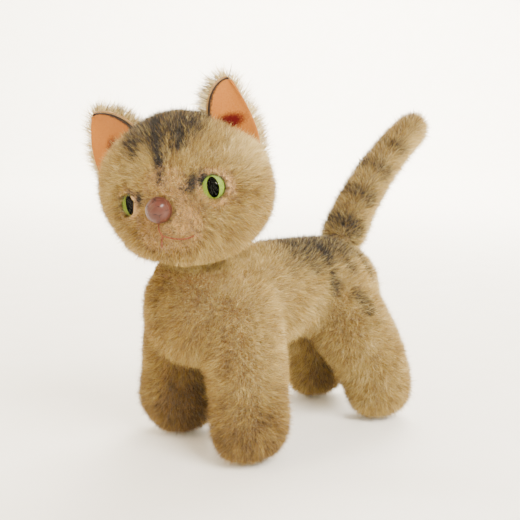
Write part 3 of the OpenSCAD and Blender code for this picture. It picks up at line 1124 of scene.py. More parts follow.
@dataclass
class StuffedForm:
    """A sewn mohair skin over wood wool: its panels, its pile and its stuffing."""

    name: str
    body: str
    stuffing: str
    padding: Padding = Padding()
    fill: float = 0.9

    def fillers(self) -> BMesh | None:
        """Returns solids that close pockets in the stuffing, or None."""
        return None

    def coat(self, rows: Points, normal: Points) -> Coat:
        """Works out the coat at each point of the skin."""
        raise NotImplementedError

    def panels(self, skin: Mesh) -> list[tuple[str, np.ndarray, Pile]]:
        """Cuts the skin along its seams: each panel's node, its faces and its pile."""
        raise NotImplementedError

    def pressed(self, rows: Points, extra: float) -> Points:
        """Returns the skin's points after anything set into it has pressed them in."""
        return rows

    def swaths(self, middle: Points) -> np.ndarray:
        """Numbers the stretches that a panel's pile is grown in, so that none is too heavy."""
        return np.zeros(len(middle), int)

    def lift(self, rows: Points, normal: Points) -> Points:
        """Returns how far the cloth stands off the stuffing solid at each point."""
        return np.full(len(rows), 1.5 * MM)

    def build(self, finishes: Finishes) -> list[Object]:
        """Makes the stuffing, the cloth panels and their pile.

        Args:
            finishes: The finishes to dress them in.

        Returns:
            The new pieces.
        """
        made = []
        skin = self.padding.skin(f"{self.name}_skin", self.stuffing, self.fillers())
        core = skin.copy()
        core.name = self.stuffing + "_packed"
        rows, normal = positions(skin), normals(skin)
        packed_rows = rows + normal * (self.lift(rows, normal) - self.padding.cloth * 1.6)[:, None]
        move_to(core, self.pressed(packed_rows, self.padding.cloth * 1.6))
        core.materials.append(finishes.stuffing)
        packed = new_object(core.name, core)
        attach(packed, self.body)
        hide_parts(self.stuffing)
        made.append(packed)
        move_to(skin, self.pressed(rows + normal * self.lift(rows, normal)[:, None], 0.0))
        for node, keep, pile in self.panels(skin):
            made += self.panel(skin, node, keep, pile, finishes)
        bpy.data.meshes.remove(skin)
        return made

    def panel(
        self,
        skin: Mesh,
        node: str,
        keep: np.ndarray,
        pile: Pile,
        finishes: Finishes,
    ) -> list[Object]:
        """Makes one sewn panel and its pile.

        Args:
            skin: The whole skin.
            node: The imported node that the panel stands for.
            keep: Which faces of the skin are the panel's.
            pile: The panel's pile.
            finishes: The finishes to dress it in.

        Returns:
            The cloth and each stretch of its pile.
        """
        cloth = slice_mesh(skin, f"{node}_cloth", keep)
        cloth = reworked(cloth, "SOLIDIFY", thickness=self.padding.cloth, offset=-1.0)
        cloth.materials.append(finishes.backing)
        sewn = new_object(f"{node}_cloth", cloth)
        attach(sewn, self.body)
        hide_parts(node)
        made = [sewn]
        swath = self.swaths(face_middles(skin))
        for number in sorted(set(swath[keep])):
            face = slice_mesh(skin, f"{node}_face", keep & (swath == number))
            face_rows, face_normal = positions(face), normals(face)
            self.coat(face_rows, face_normal).write(face, face_normal)
            nap = pile.grow(f"{node}_pile_{number + 1}", face, finishes.strands)
            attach(nap, self.body)
            made.append(nap)
        return made


@dataclass
class Body(StuffedForm):
    """The standing body: legs, back, belly and chest."""

    name: str = "body"
    body: str = "body"
    stuffing: str = "body_stuffing"
    strand: float = 3.5 * MM
    stripes: tuple[Marking, ...] = (
        Marking((3, 68), (6, 63.5), 4.2, 0.95),
        Marking((4, 64), (5.2, 52), 3.2, 0.75),
        Marking((-4.5, 62.5), (-2.5, 59.5), 3.0, 0.7),
        Marking((14, 59), (14.5, 57.5), 2.8, 0.75),
        Marking((12.5, 50), (16, 44), 3.0, 0.65),
        Marking((22, 66), (25, 55), 3.2, 0.6),
        Marking((-16, 70), (-14, 61), 3.0, 0.4),
    )
    leg_seam: tuple[tuple[float, float, float], ...] = (
        (14.6, 2.9, 36.1),
        (20.5, 7.8, 30.1),
        (23.6, 13.1, 24.6),
        (22.8, 16.3, 15.0),
        (22.2, 17.2, 10.1),
    )
    chest_part: tuple[tuple[float, float, float], ...] = (
        (4.5, -55.0, 67.0),
        (8.3, -54.1, 61.5),
        (13.4, -53.5, 48.6),
        (14.2, -51.5, 41.0),
    )

    def fillers(self) -> BMesh | None:
        """Closes the neck's pocket."""
        work = bmesh.new()
        _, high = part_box("body_stuffing")
        neck = frame["joints"][0]["pos_m"]
        drum(work, Vector((neck[0], neck[1], high[2] - 9 * MM)), 10 * MM, 14 * MM)
        return work

    def coat(self, rows: Points, normal: Points) -> Coat:
        """The body's nap runs back and down, and down the legs."""
        mm = rows / MM
        x, y, z = mm[:, 0], mm[:, 1], mm[:, 2]
        leg = 1 - smooth_step(18, 34, z)
        comb = np.column_stack((0.15 * np.sign(x), 0.75 - 0.75 * leg, -0.5 - 0.5 * leg))
        chest = smooth_step(0.3, 0.9, -normal[:, 1]) * smooth_step(24, 40, z)
        comb = comb * (1 - chest[:, None]) + chest[:, None] * np.array((0.0, 0.2, -0.9))
        dark = shaded(mm[:, 1:], self.stripes) * smooth_step(0.0, 6.0, np.abs(x))
        back = smooth_step(57, 65, z) * smooth_step(-18, -6, y) * (1 - smooth_step(18, 28, y))
        dark = np.maximum(dark, 0.78 * back)
        blotch = patches(rows, 21 * MM, 0.7)
        # Painted shade and light in the pile's tone: the lower legs, the front ones most, and the chest are
        # made browner as painted shade, and the rump a little paler as painted light where the light falls.
        # blotch is the pile's own uneven colour.
        lit_rump = smooth_step(18, 40, y) * smooth_step(20, 50, z)
        low = 1 - smooth_step(4, 40, z)
        shaded_fore = 1 - smooth_step(-20, 10, y)
        tone = 0.38 + 0.12 * blotch + (0.1 + 0.3 * shaded_fore) * low + 0.2 * chest - 0.05 * lit_rump
        # The inner faces of the lower legs are made browner as painted shade between the legs.
        inner = smooth_step(0.2, 0.9, -normal[:, 0] * np.sign(x)) * (1 - smooth_step(26, 40, z))
        tone = tone + 0.3 * inner
        length = np.full(len(rows), self.strand)
        length *= 1 - 0.35 * smooth_step(0.6, 1.0, -normal[:, 2]) * (1 - smooth_step(4, 9, z))
        length *= 1 - 0.2 * chest
        length *= 1 - 0.6 * rubbed(mm)
        hind, aside = near_line(mm, self.leg_seam, 4.2)
        parted, apart = near_line(mm, self.chest_part, 3.0)
        comb = comb + 1.6 * hind[:, None] * aside + 1.2 * parted[:, None] * apart
        length *= 1 - 0.8 * hind - 0.6 * parted
        tone = tone - 0.34 * hind - 0.2 * parted
        thick = 1 - 0.45 * hind - 0.4 * parted
        dark = np.maximum(dark, 0.3 * parted * smooth_step(0.1, 0.5, patches(rows, 2.2 * MM, 4.4)))
        return Coat(length, comb, np.clip(dark, 0, 1), np.clip(tone, 0, 1), thick)

    def lift(self, rows: Points, normal: Points) -> Points:
        """The right of the chest and of the right front leg are packed fuller."""
        mm = rows / MM
        facing = smooth_step(0.1, 0.8, normal @ np.array((-0.65, -0.76, 0.0)))
        side = smooth_step(0, 8, -mm[:, 0]) * smooth_step(22, 32, -mm[:, 1])
        tall = smooth_step(6, 14, mm[:, 2]) * (1 - smooth_step(66, 74, mm[:, 2]))
        return super().lift(rows, normal) + 2.8 * MM * facing * side * tall

    def panels(self, skin: Mesh) -> list[tuple[str, np.ndarray, Pile]]:
        """Two side panels, and a gusset under the belly and between the legs."""
        left, right, gusset = seamed(skin, Matrix.Identity(4), 16 * MM, 38 * MM, above=False)
        return [
            ("side_panel_left", left, Pile(per_mm2=19, seed=3)),
            ("side_panel_right", right, Pile(per_mm2=19, seed=4)),
            ("underbody_gusset", gusset, Pile(per_mm2=12, seed=5)),
        ]

    def swaths(self, middle: Points) -> np.ndarray:
        """Parts the pile into shoulder, middle and haunch."""
        return (middle[:, 1] > -22 * MM).astype(int) + (middle[:, 1] > 12 * MM)


@dataclass
class Tail(StuffedForm):
    """The upright, curving tail."""

    name: str = "tail"
    body: str = "body"
    stuffing: str = "tail_stuffing"
    padding: Padding = Padding(voxel=1.6 * MM, most_swell=0.6 * MM)
    strand: float = 4.0 * MM
    bands: tuple[tuple[float, float], ...] = ((15, 0.8), (28.5, 0.7), (41, 0.65), (54, 0.55))

    def lift(self, rows: Points, normal: Points) -> Points:
        """The tail's cloth lies close over its thin stuffing."""
        return np.full(len(rows), 0.7 * MM)

    def coat(self, rows: Points, normal: Points) -> Coat:
        """The nap runs to the tip, with dark bands over the back of the tail."""
        mm = rows / MM
        y, z = mm[:, 1], mm[:, 2]
        comb = np.tile(np.array((0.0, 0.45, 0.9)), (len(rows), 1))
        under = normal @ np.array((0.0, 0.86, -0.5))
        along = 0.62 * (y - 21.5) + 0.78 * (z - 56)
        dark = 0.32 * smooth_step(0.0, 0.8, -under)
        for level, strength in self.bands:
            near = 1 - smooth_step(0.1, 1.0, np.abs(along - level) / 6.0)
            dark = np.maximum(dark, strength * near * (1 - smooth_step(-0.2, 0.5, under)))
        blotch = patches(rows, 14 * MM, 2.2)
        tone = 0.26 + 0.1 * blotch + 0.22 * smooth_step(0.0, 0.9, -under) - 0.08 * smooth_step(0, 0.8, under)
        length = np.full(len(rows), self.strand)
        return Coat(length, comb, np.clip(dark, 0, 1), np.clip(tone, 0, 1), np.ones(len(rows)))

    def panels(self, skin: Mesh) -> list[tuple[str, np.ndarray, Pile]]:
        """The tail's cover is one piece."""
        return [("tail_cover", np.ones(len(skin.polygons), bool), Pile(per_mm2=21, lean=0.35, seed=6))]


@dataclass
class Head(StuffedForm):
    """The turned head: clipped muzzle and eye surrounds, longer cheeks and brow stripes."""

    name: str = "head"
    body: str = "head"
    stuffing: str = "head_stuffing"
    strand: float = 3.5 * MM
    short: float = 1.0 * MM
    eye: tuple[float, float, float] = (14.2, -17.0, 0.2)
    stripes: tuple[Marking, ...] = (
        Marking((-2.6, 24), (-1, 15), 3.2, 1.0),
        Marking((-1, 15), (-0.4, 8.5), 2.5, 1.0),
        Marking((-0.4, 8.5), (-0.6, 5.0), 2.2, 1.0),
        Marking((-10, 22), (-8.2, 14), 3.2, 0.85),
        Marking((7.4, 22), (4.4, 13), 3.2, 0.9),
        Marking((6.0, 1.8), (11.0, 3.6), 2.8, 1.0),
        Marking((-8.6, 1), (-12.5, 3.0), 2.8, 1.0),
    )

    def fillers(self) -> BMesh | None:
        """Closes the neck's pocket and the hollow round the joint."""
        work = bmesh.new()
        low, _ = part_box("head_stuffing")
        neck = frame["joints"][0]["pos_m"]
        ball(work, HEAD @ Vector((0, 1 * MM, -4 * MM)), 15 * MM)
        drum(work, Vector((neck[0], neck[1], low[2] + 8 * MM)), 10.5 * MM, 14 * MM)
        return work

    def pressed(self, rows: Points, extra: float) -> Points:
        """Presses the eyes' and the nose's sockets into the face."""
        made = rows.copy()
        for piece, depth in ((Eye(Side.LEFT), 4.4), (Eye(Side.RIGHT), 4.4), (Nose(), 3.4)):
            own = placed(made, piece.place().inverted())
            inside = (np.hypot(own[:, 0], own[:, 1]) < piece.radius + 0.3 * MM) & (own[:, 2] > -9 * MM)
            own[inside, 2] = np.minimum(own[inside, 2], -depth * MM - extra)
            made[inside] = placed(own[inside], piece.place())
        return made

    def _clip(self, local: Points) -> Points:
        """Returns how closely the pile is clipped, from 0 to 1, on the muzzle and round the eyes."""
        mm = local / MM
        muzzle = 1 - smooth_step(9, 14, np.linalg.norm(mm - np.array((-1.5, -23, -7)), axis=1))
        bridge = 1 - smooth_step(6, 10.5, np.linalg.norm(mm - np.array((-1, -22, 3)), axis=1))
        around = np.zeros(len(local))
        for side in Side:
            eye = np.array((side.value * self.eye[0], self.eye[1], self.eye[2]))
            around = np.maximum(around, 1 - smooth_step(4.5, 8.5, np.linalg.norm(mm - eye, axis=1)))
        return np.maximum(np.maximum(muzzle, bridge), around)

    def lift(self, rows: Points, normal: Points) -> Points:
        """The cloth stands further out where the pile is clipped short."""
        clip = self._clip(placed(rows, HEAD.inverted()))
        return (1.5 + 1.1 * clip) * MM

    def coat(self, rows: Points, normal: Points) -> Coat:
        """The face's nap runs away from the nose, and back over the crown."""
        local = placed(rows, HEAD.inverted())
        mm = local / MM
        x, y, z = mm[:, 0], mm[:, 1], mm[:, 2]
        away = unit(mm - np.array((-2.0, -30.0, -4.0)))
        down = np.tile(np.array((0.0, 0.3, -0.55)), (len(rows), 1))
        comb = away + down * smooth_step(-4, 8, -z)[:, None]
        clip = self._clip(local)
        dark = shaded(mm[:, [0, 2]], self.stripes) * (1 - smooth_step(-8, -2, y))
        crown = smooth_step(11, 18, z) * (1 - smooth_step(6, 14, y))
        crown *= 1 - smooth_step(10, 15, np.abs(x + 1))
        dark = np.maximum(dark, 0.8 * crown)
        blotch = patches(local, 17 * MM, 1.3)
        swirl = np.column_stack([patches(local, 2.4 * MM, seed) for seed in (3.1, 5.7, 8.9)])
        comb = comb * (1 - 0.6 * clip)[:, None] + 6.0 * swirl * clip[:, None]
        # A patch on the kitten's left cheek where the pile grows longer and paler. The longer pile is the
        # cheek's own; the paleness is a painted highlight where light falls on that cheek.
        cheek_tuft_and_highlight = np.exp(-(((mm[:, [0, 2]] - np.array((22.5, 8.0))) / 5.5) ** 2).sum(axis=1))
        tone = 0.42 + 0.1 * blotch + 0.2 * clip - 0.3 * cheek_tuft_and_highlight
        tone = tone + 0.1 * smooth_step(-4, 6, -z) + 0.1 * smooth_step(6, 18, z)
        length = self.strand + (self.short - self.strand) * clip + 0.9 * MM * cheek_tuft_and_highlight
        length *= 1 - 0.6 * rubbed(rows / MM)
        thick = 1 - 0.35 * clip
        for side in Side:
            eye = np.array((side.value * self.eye[0], self.eye[2]))
            front = y < -5
            thick *= np.where(front, smooth_step(3.9, 4.3, np.linalg.norm(mm[:, [0, 2]] - eye, axis=1)), 1)
        at_nose = np.linalg.norm(mm[:, [0, 2]] - np.array((Nose.middle[0], Nose.middle[2])), axis=1)
        thick *= np.where(y < -5, smooth_step(3.2, 4.0, at_nose), 1)
        nap = comb @ np.array(HEAD)[:3, :3].T
        return Coat(length, nap, np.clip(dark, 0, 1), np.clip(tone, 0, 1), thick)

    def panels(self, skin: Mesh) -> list[tuple[str, np.ndarray, Pile]]:
        """Two sides, and a gusset from the nose over the crown."""
        left, right, gusset = seamed(skin, HEAD, 8 * MM, -4 * MM, above=True)
        return [
            ("head_side_left", left, Pile(per_mm2=21, seed=7)),
            ("head_side_right", right, Pile(per_mm2=21, seed=8)),
            ("head_gusset", gusset, Pile(per_mm2=28, seed=9)),
        ]


# ---------------------------------------------------------------- sewn and set-in pieces


@dataclass(frozen=True)
class TwistedThread:
    """Plied thread laid along a path, its plies winding round each other."""

    radius: float = 0.35 * MM
    turn_every: float = 1.6 * MM
    plies: int = 3

    def tree(self, material: Material) -> NodeTree:
        """Builds the tree that turns edges into plied thread.

        Args:
            material: The thread's finish.

        Returns:
            A tree with the inputs Path, Radius, Step and Winding.
        """
        sizes = dict.fromkeys(("Radius", "Step", "Winding"), "Float")
        tree = new_tree("plied_thread", "Thread", {"Path": "Geometry", **sizes})
        given = add_node(tree, "NodeGroupInput").outputs
        path = add_node(tree, "GeometryNodeMeshToCurve", Mesh=given["Path"])
        smooth = add_node(tree, "GeometryNodeCurveSplineType", Curve=path, spline_type="CATMULL_ROM")
        fine = add_node(tree, "GeometryNodeResampleCurve", Curve=smooth, Length=given["Step"], mode="LENGTH")
        along = add_node(tree, "GeometryNodeSplineParameter").outputs["Length"]
        twist = add_node(tree, "ShaderNodeMath MULTIPLY", along, given["Winding"])
        wound = add_node(tree, "GeometryNodeSetCurveTilt", Curve=fine, Tilt=twist)
        ring = add_node(tree, "GeometryNodeCurvePrimitiveCircle", Resolution=18, Radius=1.0)
        place = add_node(tree, "GeometryNodeInputPosition")
        x, y, _ = add_node(tree, "ShaderNodeSeparateXYZ", place).outputs
        angle = add_node(tree, "ShaderNodeMath ARCTAN2", y, x)
        turns = add_node(tree, "ShaderNodeMath MULTIPLY", angle, self.plies / 2)
        wave = add_node(tree, "ShaderNodeMath ABSOLUTE", add_node(tree, "ShaderNodeMath COSINE", turns))
        lobes = add_node(tree, "ShaderNodeMath MULTIPLY_ADD", wave, 0.35, 0.65)
        reach = add_node(tree, "ShaderNodeMath MULTIPLY", lobes, given["Radius"])
        lobed = add_node(tree, "ShaderNodeVectorMath SCALE", place, reach)
        profile = add_node(tree, "GeometryNodeSetPosition", Geometry=ring, Position=lobed)
        thread = add_node(tree, "GeometryNodeCurveToMesh", Curve=wound, Profile_Curve=profile, Fill_Caps=True)
        real = add_node(tree, "GeometryNodeRealizeInstances", thread)
        soft = add_node(tree, "GeometryNodeSetShadeSmooth", Geometry=real, Shade_Smooth=True)
        dressed = add_node(tree, "GeometryNodeSetMaterial", Geometry=soft, Material=material)
        add_node(tree, "NodeGroupOutput", dressed)
        return tree

    def lay(self, name: str, paths: list[list[Vector]], material: Material) -> Object:
        """Lays the thread along paths.

        Args:
            name: Name of the piece.
            paths: Lists of points in the row frame.
            material: The thread's finish.

        Returns:
            The thread as a plain mesh piece.
        """
        corners = [point for path in paths for point in path]
        edges = []
        first = 0
        for path in paths:
            edges += [(first + step, first + step + 1) for step in range(len(path) - 1)]
            first += len(path)
        guide = bpy.data.meshes.new("thread_path")
        guide.from_pydata(corners, edges, [])
        winding = 2 * math.pi / self.turn_every
        step = self.radius * 0.7
        mesh = through_tree(guide, self.tree(material), name, Radius=self.radius, Step=step, Winding=winding)
        return new_object(name, mesh)


def first_hit(panels: list[Object], start: Vector, aim: Vector) -> tuple[Vector, Vector]:
    """Finds where a line first meets any of several panels.

    Args:
        panels: Pieces to try.
        start: Where the line starts.
        aim: Its direction.

    Returns:
        The place and the outward normal there.
    """
    found = []
    for panel in panels:
        hit, spot, normal, _ = panel.ray_cast(start, aim)
        if hit:
            found.append(((spot - start).length, spot, normal))
    if not found:
        raise ValueError(f"no panel lies ahead of {tuple(start)}")
    nearest = min(found, key=lambda item: item[0])
    return nearest[1], nearest[2]


def lathe(profile: list[tuple[float, float]], steps: int, place: Matrix) -> Mesh:
    """Spins a profile round an axis into a closed, smooth mesh.

    Args:
        profile: Points of (radius, height) whose first and last radii are 0.
        steps: How many steps go round.
        place: Turns the axis's own frame to the row frame.

    Returns:
        The mesh, with its faces pointing out.
    """
    work = bmesh.new()
    rings = []
    for radius, height in profile:
        if radius == 0:
            rings.append([work.verts.new((0, 0, height))])
            continue
        turns = [2 * math.pi * step / steps for step in range(steps)]
        rings.append([work.verts.new((radius * math.cos(t), radius * math.sin(t), height)) for t in turns])
    for low, high in zip(rings, rings[1:]):
        for step in range(steps):
            after = (step + 1) % steps
            corners = [low[step % len(low)], low[after % len(low)]]
            corners += [high[after % len(high)], high[step % len(high)]]
            work.faces.new(list(dict.fromkeys(corners)))
    bmesh.ops.recalc_face_normals(work, faces=work.faces)
    mesh = bpy.data.meshes.new("lathe")
    work.transform(place)
    work.to_mesh(mesh)
    work.free()
    for face in mesh.polygons:
        face.use_smooth = True
    return mesh


def arc(
    centre: tuple[float, float], radius: float, start: float, end: float, steps: int
) -> list[tuple[float, float]]:
    """Returns points on an arc, from one angle in degrees to another."""
    turns = [math.radians(start + (end - start) * step / steps) for step in range(steps + 1)]
    return [(centre[0] + radius * math.cos(t), centre[1] + radius * math.sin(t)) for t in turns]


@dataclass(frozen=True)
class Eye:
    """One glass eye: clear dome, painted iris and oval pupil, in the socket of the face."""

    side: Side
    across: float = 14.2 * MM
    forward: float = -18.6 * MM
    height: float = 0.2 * MM
    turn: float = math.radians(24)
    radius: float = 3.9 * MM
    depth: float = 3.4 * MM
    pupil: tuple[float, float] = (1.8 * MM, 3.1 * MM)

    def place(self) -> Matrix:
        """Returns the turn from the eye's own axes, +Z outwards, to the row frame."""
        spot = Vector((self.side.value * self.across, self.forward, self.height))
        if self.side is Side.RIGHT:
            spot += Vector((-2, 1.4, 0)) * MM
        return (
            HEAD
            @ Matrix.Translation(spot)
            @ Matrix.Rotation(self.side.value * self.turn, 4, "Z")
            @ Matrix.Rotation(math.pi / 2, 4, "X")
        )

    def dome(self) -> Mesh:
        """Makes the dome: flat behind, with a rounded rim and a swelling front."""
        bulge = self.radius * 1.1
        centre = -bulge
        rim = 0.35 * MM
        edge = math.degrees(math.asin((self.radius - 0.1 * MM) / bulge))
        front = arc((0, centre), bulge, 90 - edge, 90, 14)
        back = -self.depth + 0.1 * MM
        base = [(0, back), (self.radius - rim, back)]
        corner = arc((self.radius - rim, back + rim), rim, -90, 0, 4)
        profile = base + corner[1:] + front[:-1] + [(0, 0.0)]
        return lathe(profile, 64, self.place())

    def disc(self, half: tuple[float, float], low: float, high: float) -> Mesh:
        """Makes an oval plate with softened edges, between two heights."""
        soft = min(0.12 * MM, (high - low) / 3)
        profile = [(0, low), (1 - soft / half[0], low), (1, low + soft), (1, high - soft)]
        profile += [(1 - soft / half[0], high), (0, high)]
        oval = self.place() @ Matrix.Diagonal((half[0], half[1], 1, 1))
        return lathe(profile, 64, oval)

    def build(self) -> list[Object]:
        """Makes the glass, the iris and the pupil."""
        word = self.side.word
        centre = self.place() @ Vector((0, 0, -self.depth))
        glass = new_object(f"glass_dome_{word}", self.dome())
        glass.data.materials.append(ClearGlass().material())
        iris_half = self.radius - 0.25 * MM
        plate = self.disc((iris_half, iris_half), -self.depth - 0.7 * MM, -self.depth - 0.1 * MM)
        iris = new_object(f"painted_iris_{word}", plate)
        iris.data.materials.append(GreenEnamel(iris_half).material(centre))
        oval = self.disc(self.pupil, -self.depth - 0.3 * MM, -self.depth + 0.05 * MM)
        pupil = new_object(f"painted_pupil_{word}", oval)
        pupil.data.materials.append(BlackEnamel().material())
        for piece, node, slot in (
            (glass, "eye_glass", "clear_glass"),
            (iris, "iris", "green_enamel"),
            (pupil, "pupil", "black_enamel"),
        ):
            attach(piece, "head")
            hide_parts(f"{node}_{word}")
        return [glass, iris, pupil]


@dataclass(frozen=True)
class Nose:
    """Round nose button."""

    middle: tuple[float, float, float] = (-2.0, -26.2, -2.8)
    radius: float = 3.9 * MM
    depth: float = 6.4 * MM

    def place(self) -> Matrix:
        """Returns the turn from the button's own axes, +Z outwards, to the row frame."""
        return HEAD @ Matrix.Translation(Vector(self.middle) * MM) @ Matrix.Rotation(math.pi / 2, 4, "X")

    def build(self) -> list[Object]:
        """Makes the button: a ball-fronted knob with a flat back."""
        ball_r = self.radius * 1.02
        front = self.depth / 2
        knob = arc((0, front - ball_r), ball_r, -50, 90, 22)
        back = [(0, -front), (self.radius * 0.62, -front)]
        mesh = lathe(back + knob[:-1] + [(0, front)], 64, self.place())
        rows, normal = positions(mesh), normals(mesh)
        dent = patches(rows, 5.5 * MM, 0.4)
        move_to(mesh, rows + normal * (0.08 * MM * dent)[:, None])
        button = new_object("crazed_nose_button", mesh)
        button.data.materials.append(CrazedButton().material())
        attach(button, "head")
        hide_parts("nose_button")
        return [button]


@dataclass(frozen=True)
class Mouth:
    """Mouth strokes of embroidery floss, in millimetres from the middle of the head."""

    strokes: tuple[tuple[tuple[float, float], ...], ...] = (
        ((-3.5, -6.6), (-3.6, -8.4), (-3.1, -10.3)),
        ((-3.1, -10.3), (-0.6, -11.5), (2.2, -12.2), (4.4, -12.3), (5.8, -12.0)),
        ((-3.1, -10.3), (-3.9, -11.8), (-4.6, -13.4)),
    )
    stand_off: float = 0.8 * MM

    def build(self, ground: list[Object]) -> list[Object]:
        """Lays the floss on the muzzle.

        Args:
            ground: The cloth panels that the strokes lie on.

        Returns:
            The floss.
        """
        paths = []
        aim = HEAD.to_3x3() @ Vector((0, 1, 0))
        for stroke in self.strokes:
            path = []
            for x, z in stroke:
                spot, normal = first_hit(ground, HEAD @ (Vector((x, -45, z)) * MM), aim)
                path.append(spot + normal * self.stand_off)
            paths.append(path)
        floss = Thread("rust_embroidery_floss", "#4a1604", "#8a4218").material()
        mouth = TwistedThread(radius=0.24 * MM, turn_every=1.3 * MM).lay("embroidered_mouth", paths, floss)
        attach(mouth, "head")
        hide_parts("mouth_stitches")
        return [mouth]


@dataclass(frozen=True)
class ChestSeam:
    """Hand-closed seam down the chest: short slanting stitches pulled into the pile."""

    low: float = 33 * MM
    high: float = 60 * MM
    spacing: float = 2.2 * MM
    reach: float = 0.9 * MM

    def build(self, ground: list[Object]) -> list[Object]:
        """Lays the stitches over the chest cloth.

        Args:
            ground: The cloth panels that the stitches join.

        Returns:
            The stitching.
        """
        paths = []
        steps = int((self.high - self.low) / self.spacing)
        for step in range(steps + 1):
            height = self.low + step * self.spacing
            path = []
            for share in (-1.0, 0.0, 1.0):
                start = Vector((share * self.reach, -0.2, height + share * 0.4 * MM))
                spot, normal = first_hit(ground, start, Vector((0, 1, 0)))
                path.append(spot + normal * (0.25 - 0.2 * abs(share)) * MM)
            paths.append(path)
        linen = Thread("linen_thread", "#b79f72", "#e3d3ac").material()
        seam = TwistedThread(radius=0.28 * MM, turn_every=1.2 * MM).lay("chest_seam_stitches", paths, linen)
        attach(seam, "body")
        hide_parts("chest_seam_thread")
        return [seam]


@dataclass(frozen=True)
class EarCut:
    """The cut of one ear in its own plane, in millimetres, and how it is sewn on."""

    side: Side
    base_in: tuple[float, float]
    base_out: tuple[float, float]
    tip: tuple[float, float]
    turn: float
    red: tuple[float, float, float, float]
    cup: float = 2.0
    bow: float = 1.6

    def place(self) -> Matrix:
        """Returns the turn from the ear's plane, +Y backwards, to the row frame."""
        spot = Vector((self.side.value * self.base_in[0], 1.0, self.base_in[1])) * MM
        turn = self.side.value * math.radians(self.turn)
        return HEAD @ Matrix.Translation(spot) @ Matrix.Rotation(turn, 4, "Z")

    def red_spot(self) -> Matrix:
        """Returns the place and half sizes of the airbrushed spot, in the row frame."""
        x, z, wide, tall = self.red
        across = self.side.value * (x - self.base_in[0])
        spot = Vector((across, self.cup / 2, z - self.base_in[1])) * MM
        return self.place() @ Matrix.Translation(spot) @ Matrix.Diagonal((wide * MM, 8 * MM, tall * MM, 1))

    def point(self, u: float, v: float, inset: float, lift: float, top: float) -> Vector:
        """Returns a point on the cupped ear.

        Args:
            u: 0 at the inner edge to 1 at the outer.
            v: 0 at the root to 1 at the tip.
            inset: How far the edges are drawn in, in millimetres.
            lift: How far the point stands behind the front face, in millimetres.
            top: Where the edges meet, as a share of the way to the tip.

        Returns:
            The point in the row frame.
        """
        inner, outer, tip = (Vector(c) for c in (self.base_in, self.base_out, self.tip))
        middle = (inner + outer) / 2
        half = (outer - inner) / 2
        centre = middle.lerp(tip, v)
        spread = 2 * u - 1
        way = min(v / top, 1)
        narrow = (1 - way**1.5) ** 0.75 if spread < 0 else (1 - way**1.8) ** 0.62
        width = max(half.length - inset, 0) / half.length
        flat = centre + half * spread * narrow * width
        flat += half.normalized() * self.bow * math.sin(math.pi * v) * max(spread, 0)
        hollow = self.cup * (1 - spread * spread) * (1 - v) ** 0.5
        across = self.side.value * (flat.x - self.base_in[0])
        return self.place() @ (Vector((across, hollow + lift, flat.y - self.base_in[1])) * MM)

    def leaf(self, name: str, inset: float, lift: float, top: float, root: float = -0.16) -> Mesh:
        """Makes the ear's face as a smooth open sheet with a UV map named ear.

        Args:
            name: Name of the mesh.
            inset: How far the edges are drawn in, in millimetres.
            lift: How far it stands behind the front face, in millimetres.
            top: Where the sheet ends, as a share of the way to the tip.
            root: Where the sheet starts, sunk in the head's pile.

        Returns:
            The sheet, whose faces point forwards.
        """
        columns, rows = 14, 16
        work = bmesh.new()
        grid = []
        for row in range(rows + 1):
            share = 1 - (1 - row / rows) ** 1.5
            v = root + (top - root) * share
            line = []
            for column in range(columns + 1):
                u = column / columns
                spot = self.point(u, max(v, 0), inset, lift, top) + self._sink(v)
                line.append((work.verts.new(spot), (u, v)))
            grid.append(line)
        layer = work.loops.layers.uv.new("ear")
        for low, high in zip(grid, grid[1:]):
            for column in range(columns):
                corners = [low[column], low[column + 1], high[column + 1], high[column]]
                face = work.faces.new([corner for corner, _ in corners])
                for loop, (_, place) in zip(face.loops, corners):
                    loop[layer].uv = (place[0], max(place[1], 0))
                face.smooth = True
        bmesh.ops.remove_doubles(work, verts=work.verts, dist=0.02 * MM)
        forward = self.place().to_3x3() @ Vector((0, -1, 0))
        work.normal_update()
        if sum((face.normal.dot(forward) for face in work.faces)) < 0:
            bmesh.ops.reverse_faces(work, faces=work.faces)
        mesh = bpy.data.meshes.new(name)
        work.to_mesh(mesh)
        work.free()
        return mesh

    def _sink(self, v: float) -> Vector:
        """Returns the step down into the head below the root line."""
        middle = (Vector(self.base_in) + Vector(self.base_out)) / 2
        down = (middle - Vector(self.tip)) * MM * max(-v, 0)
        return self.place().to_3x3() @ Vector((self.side.value * down.x, 0, down.y))


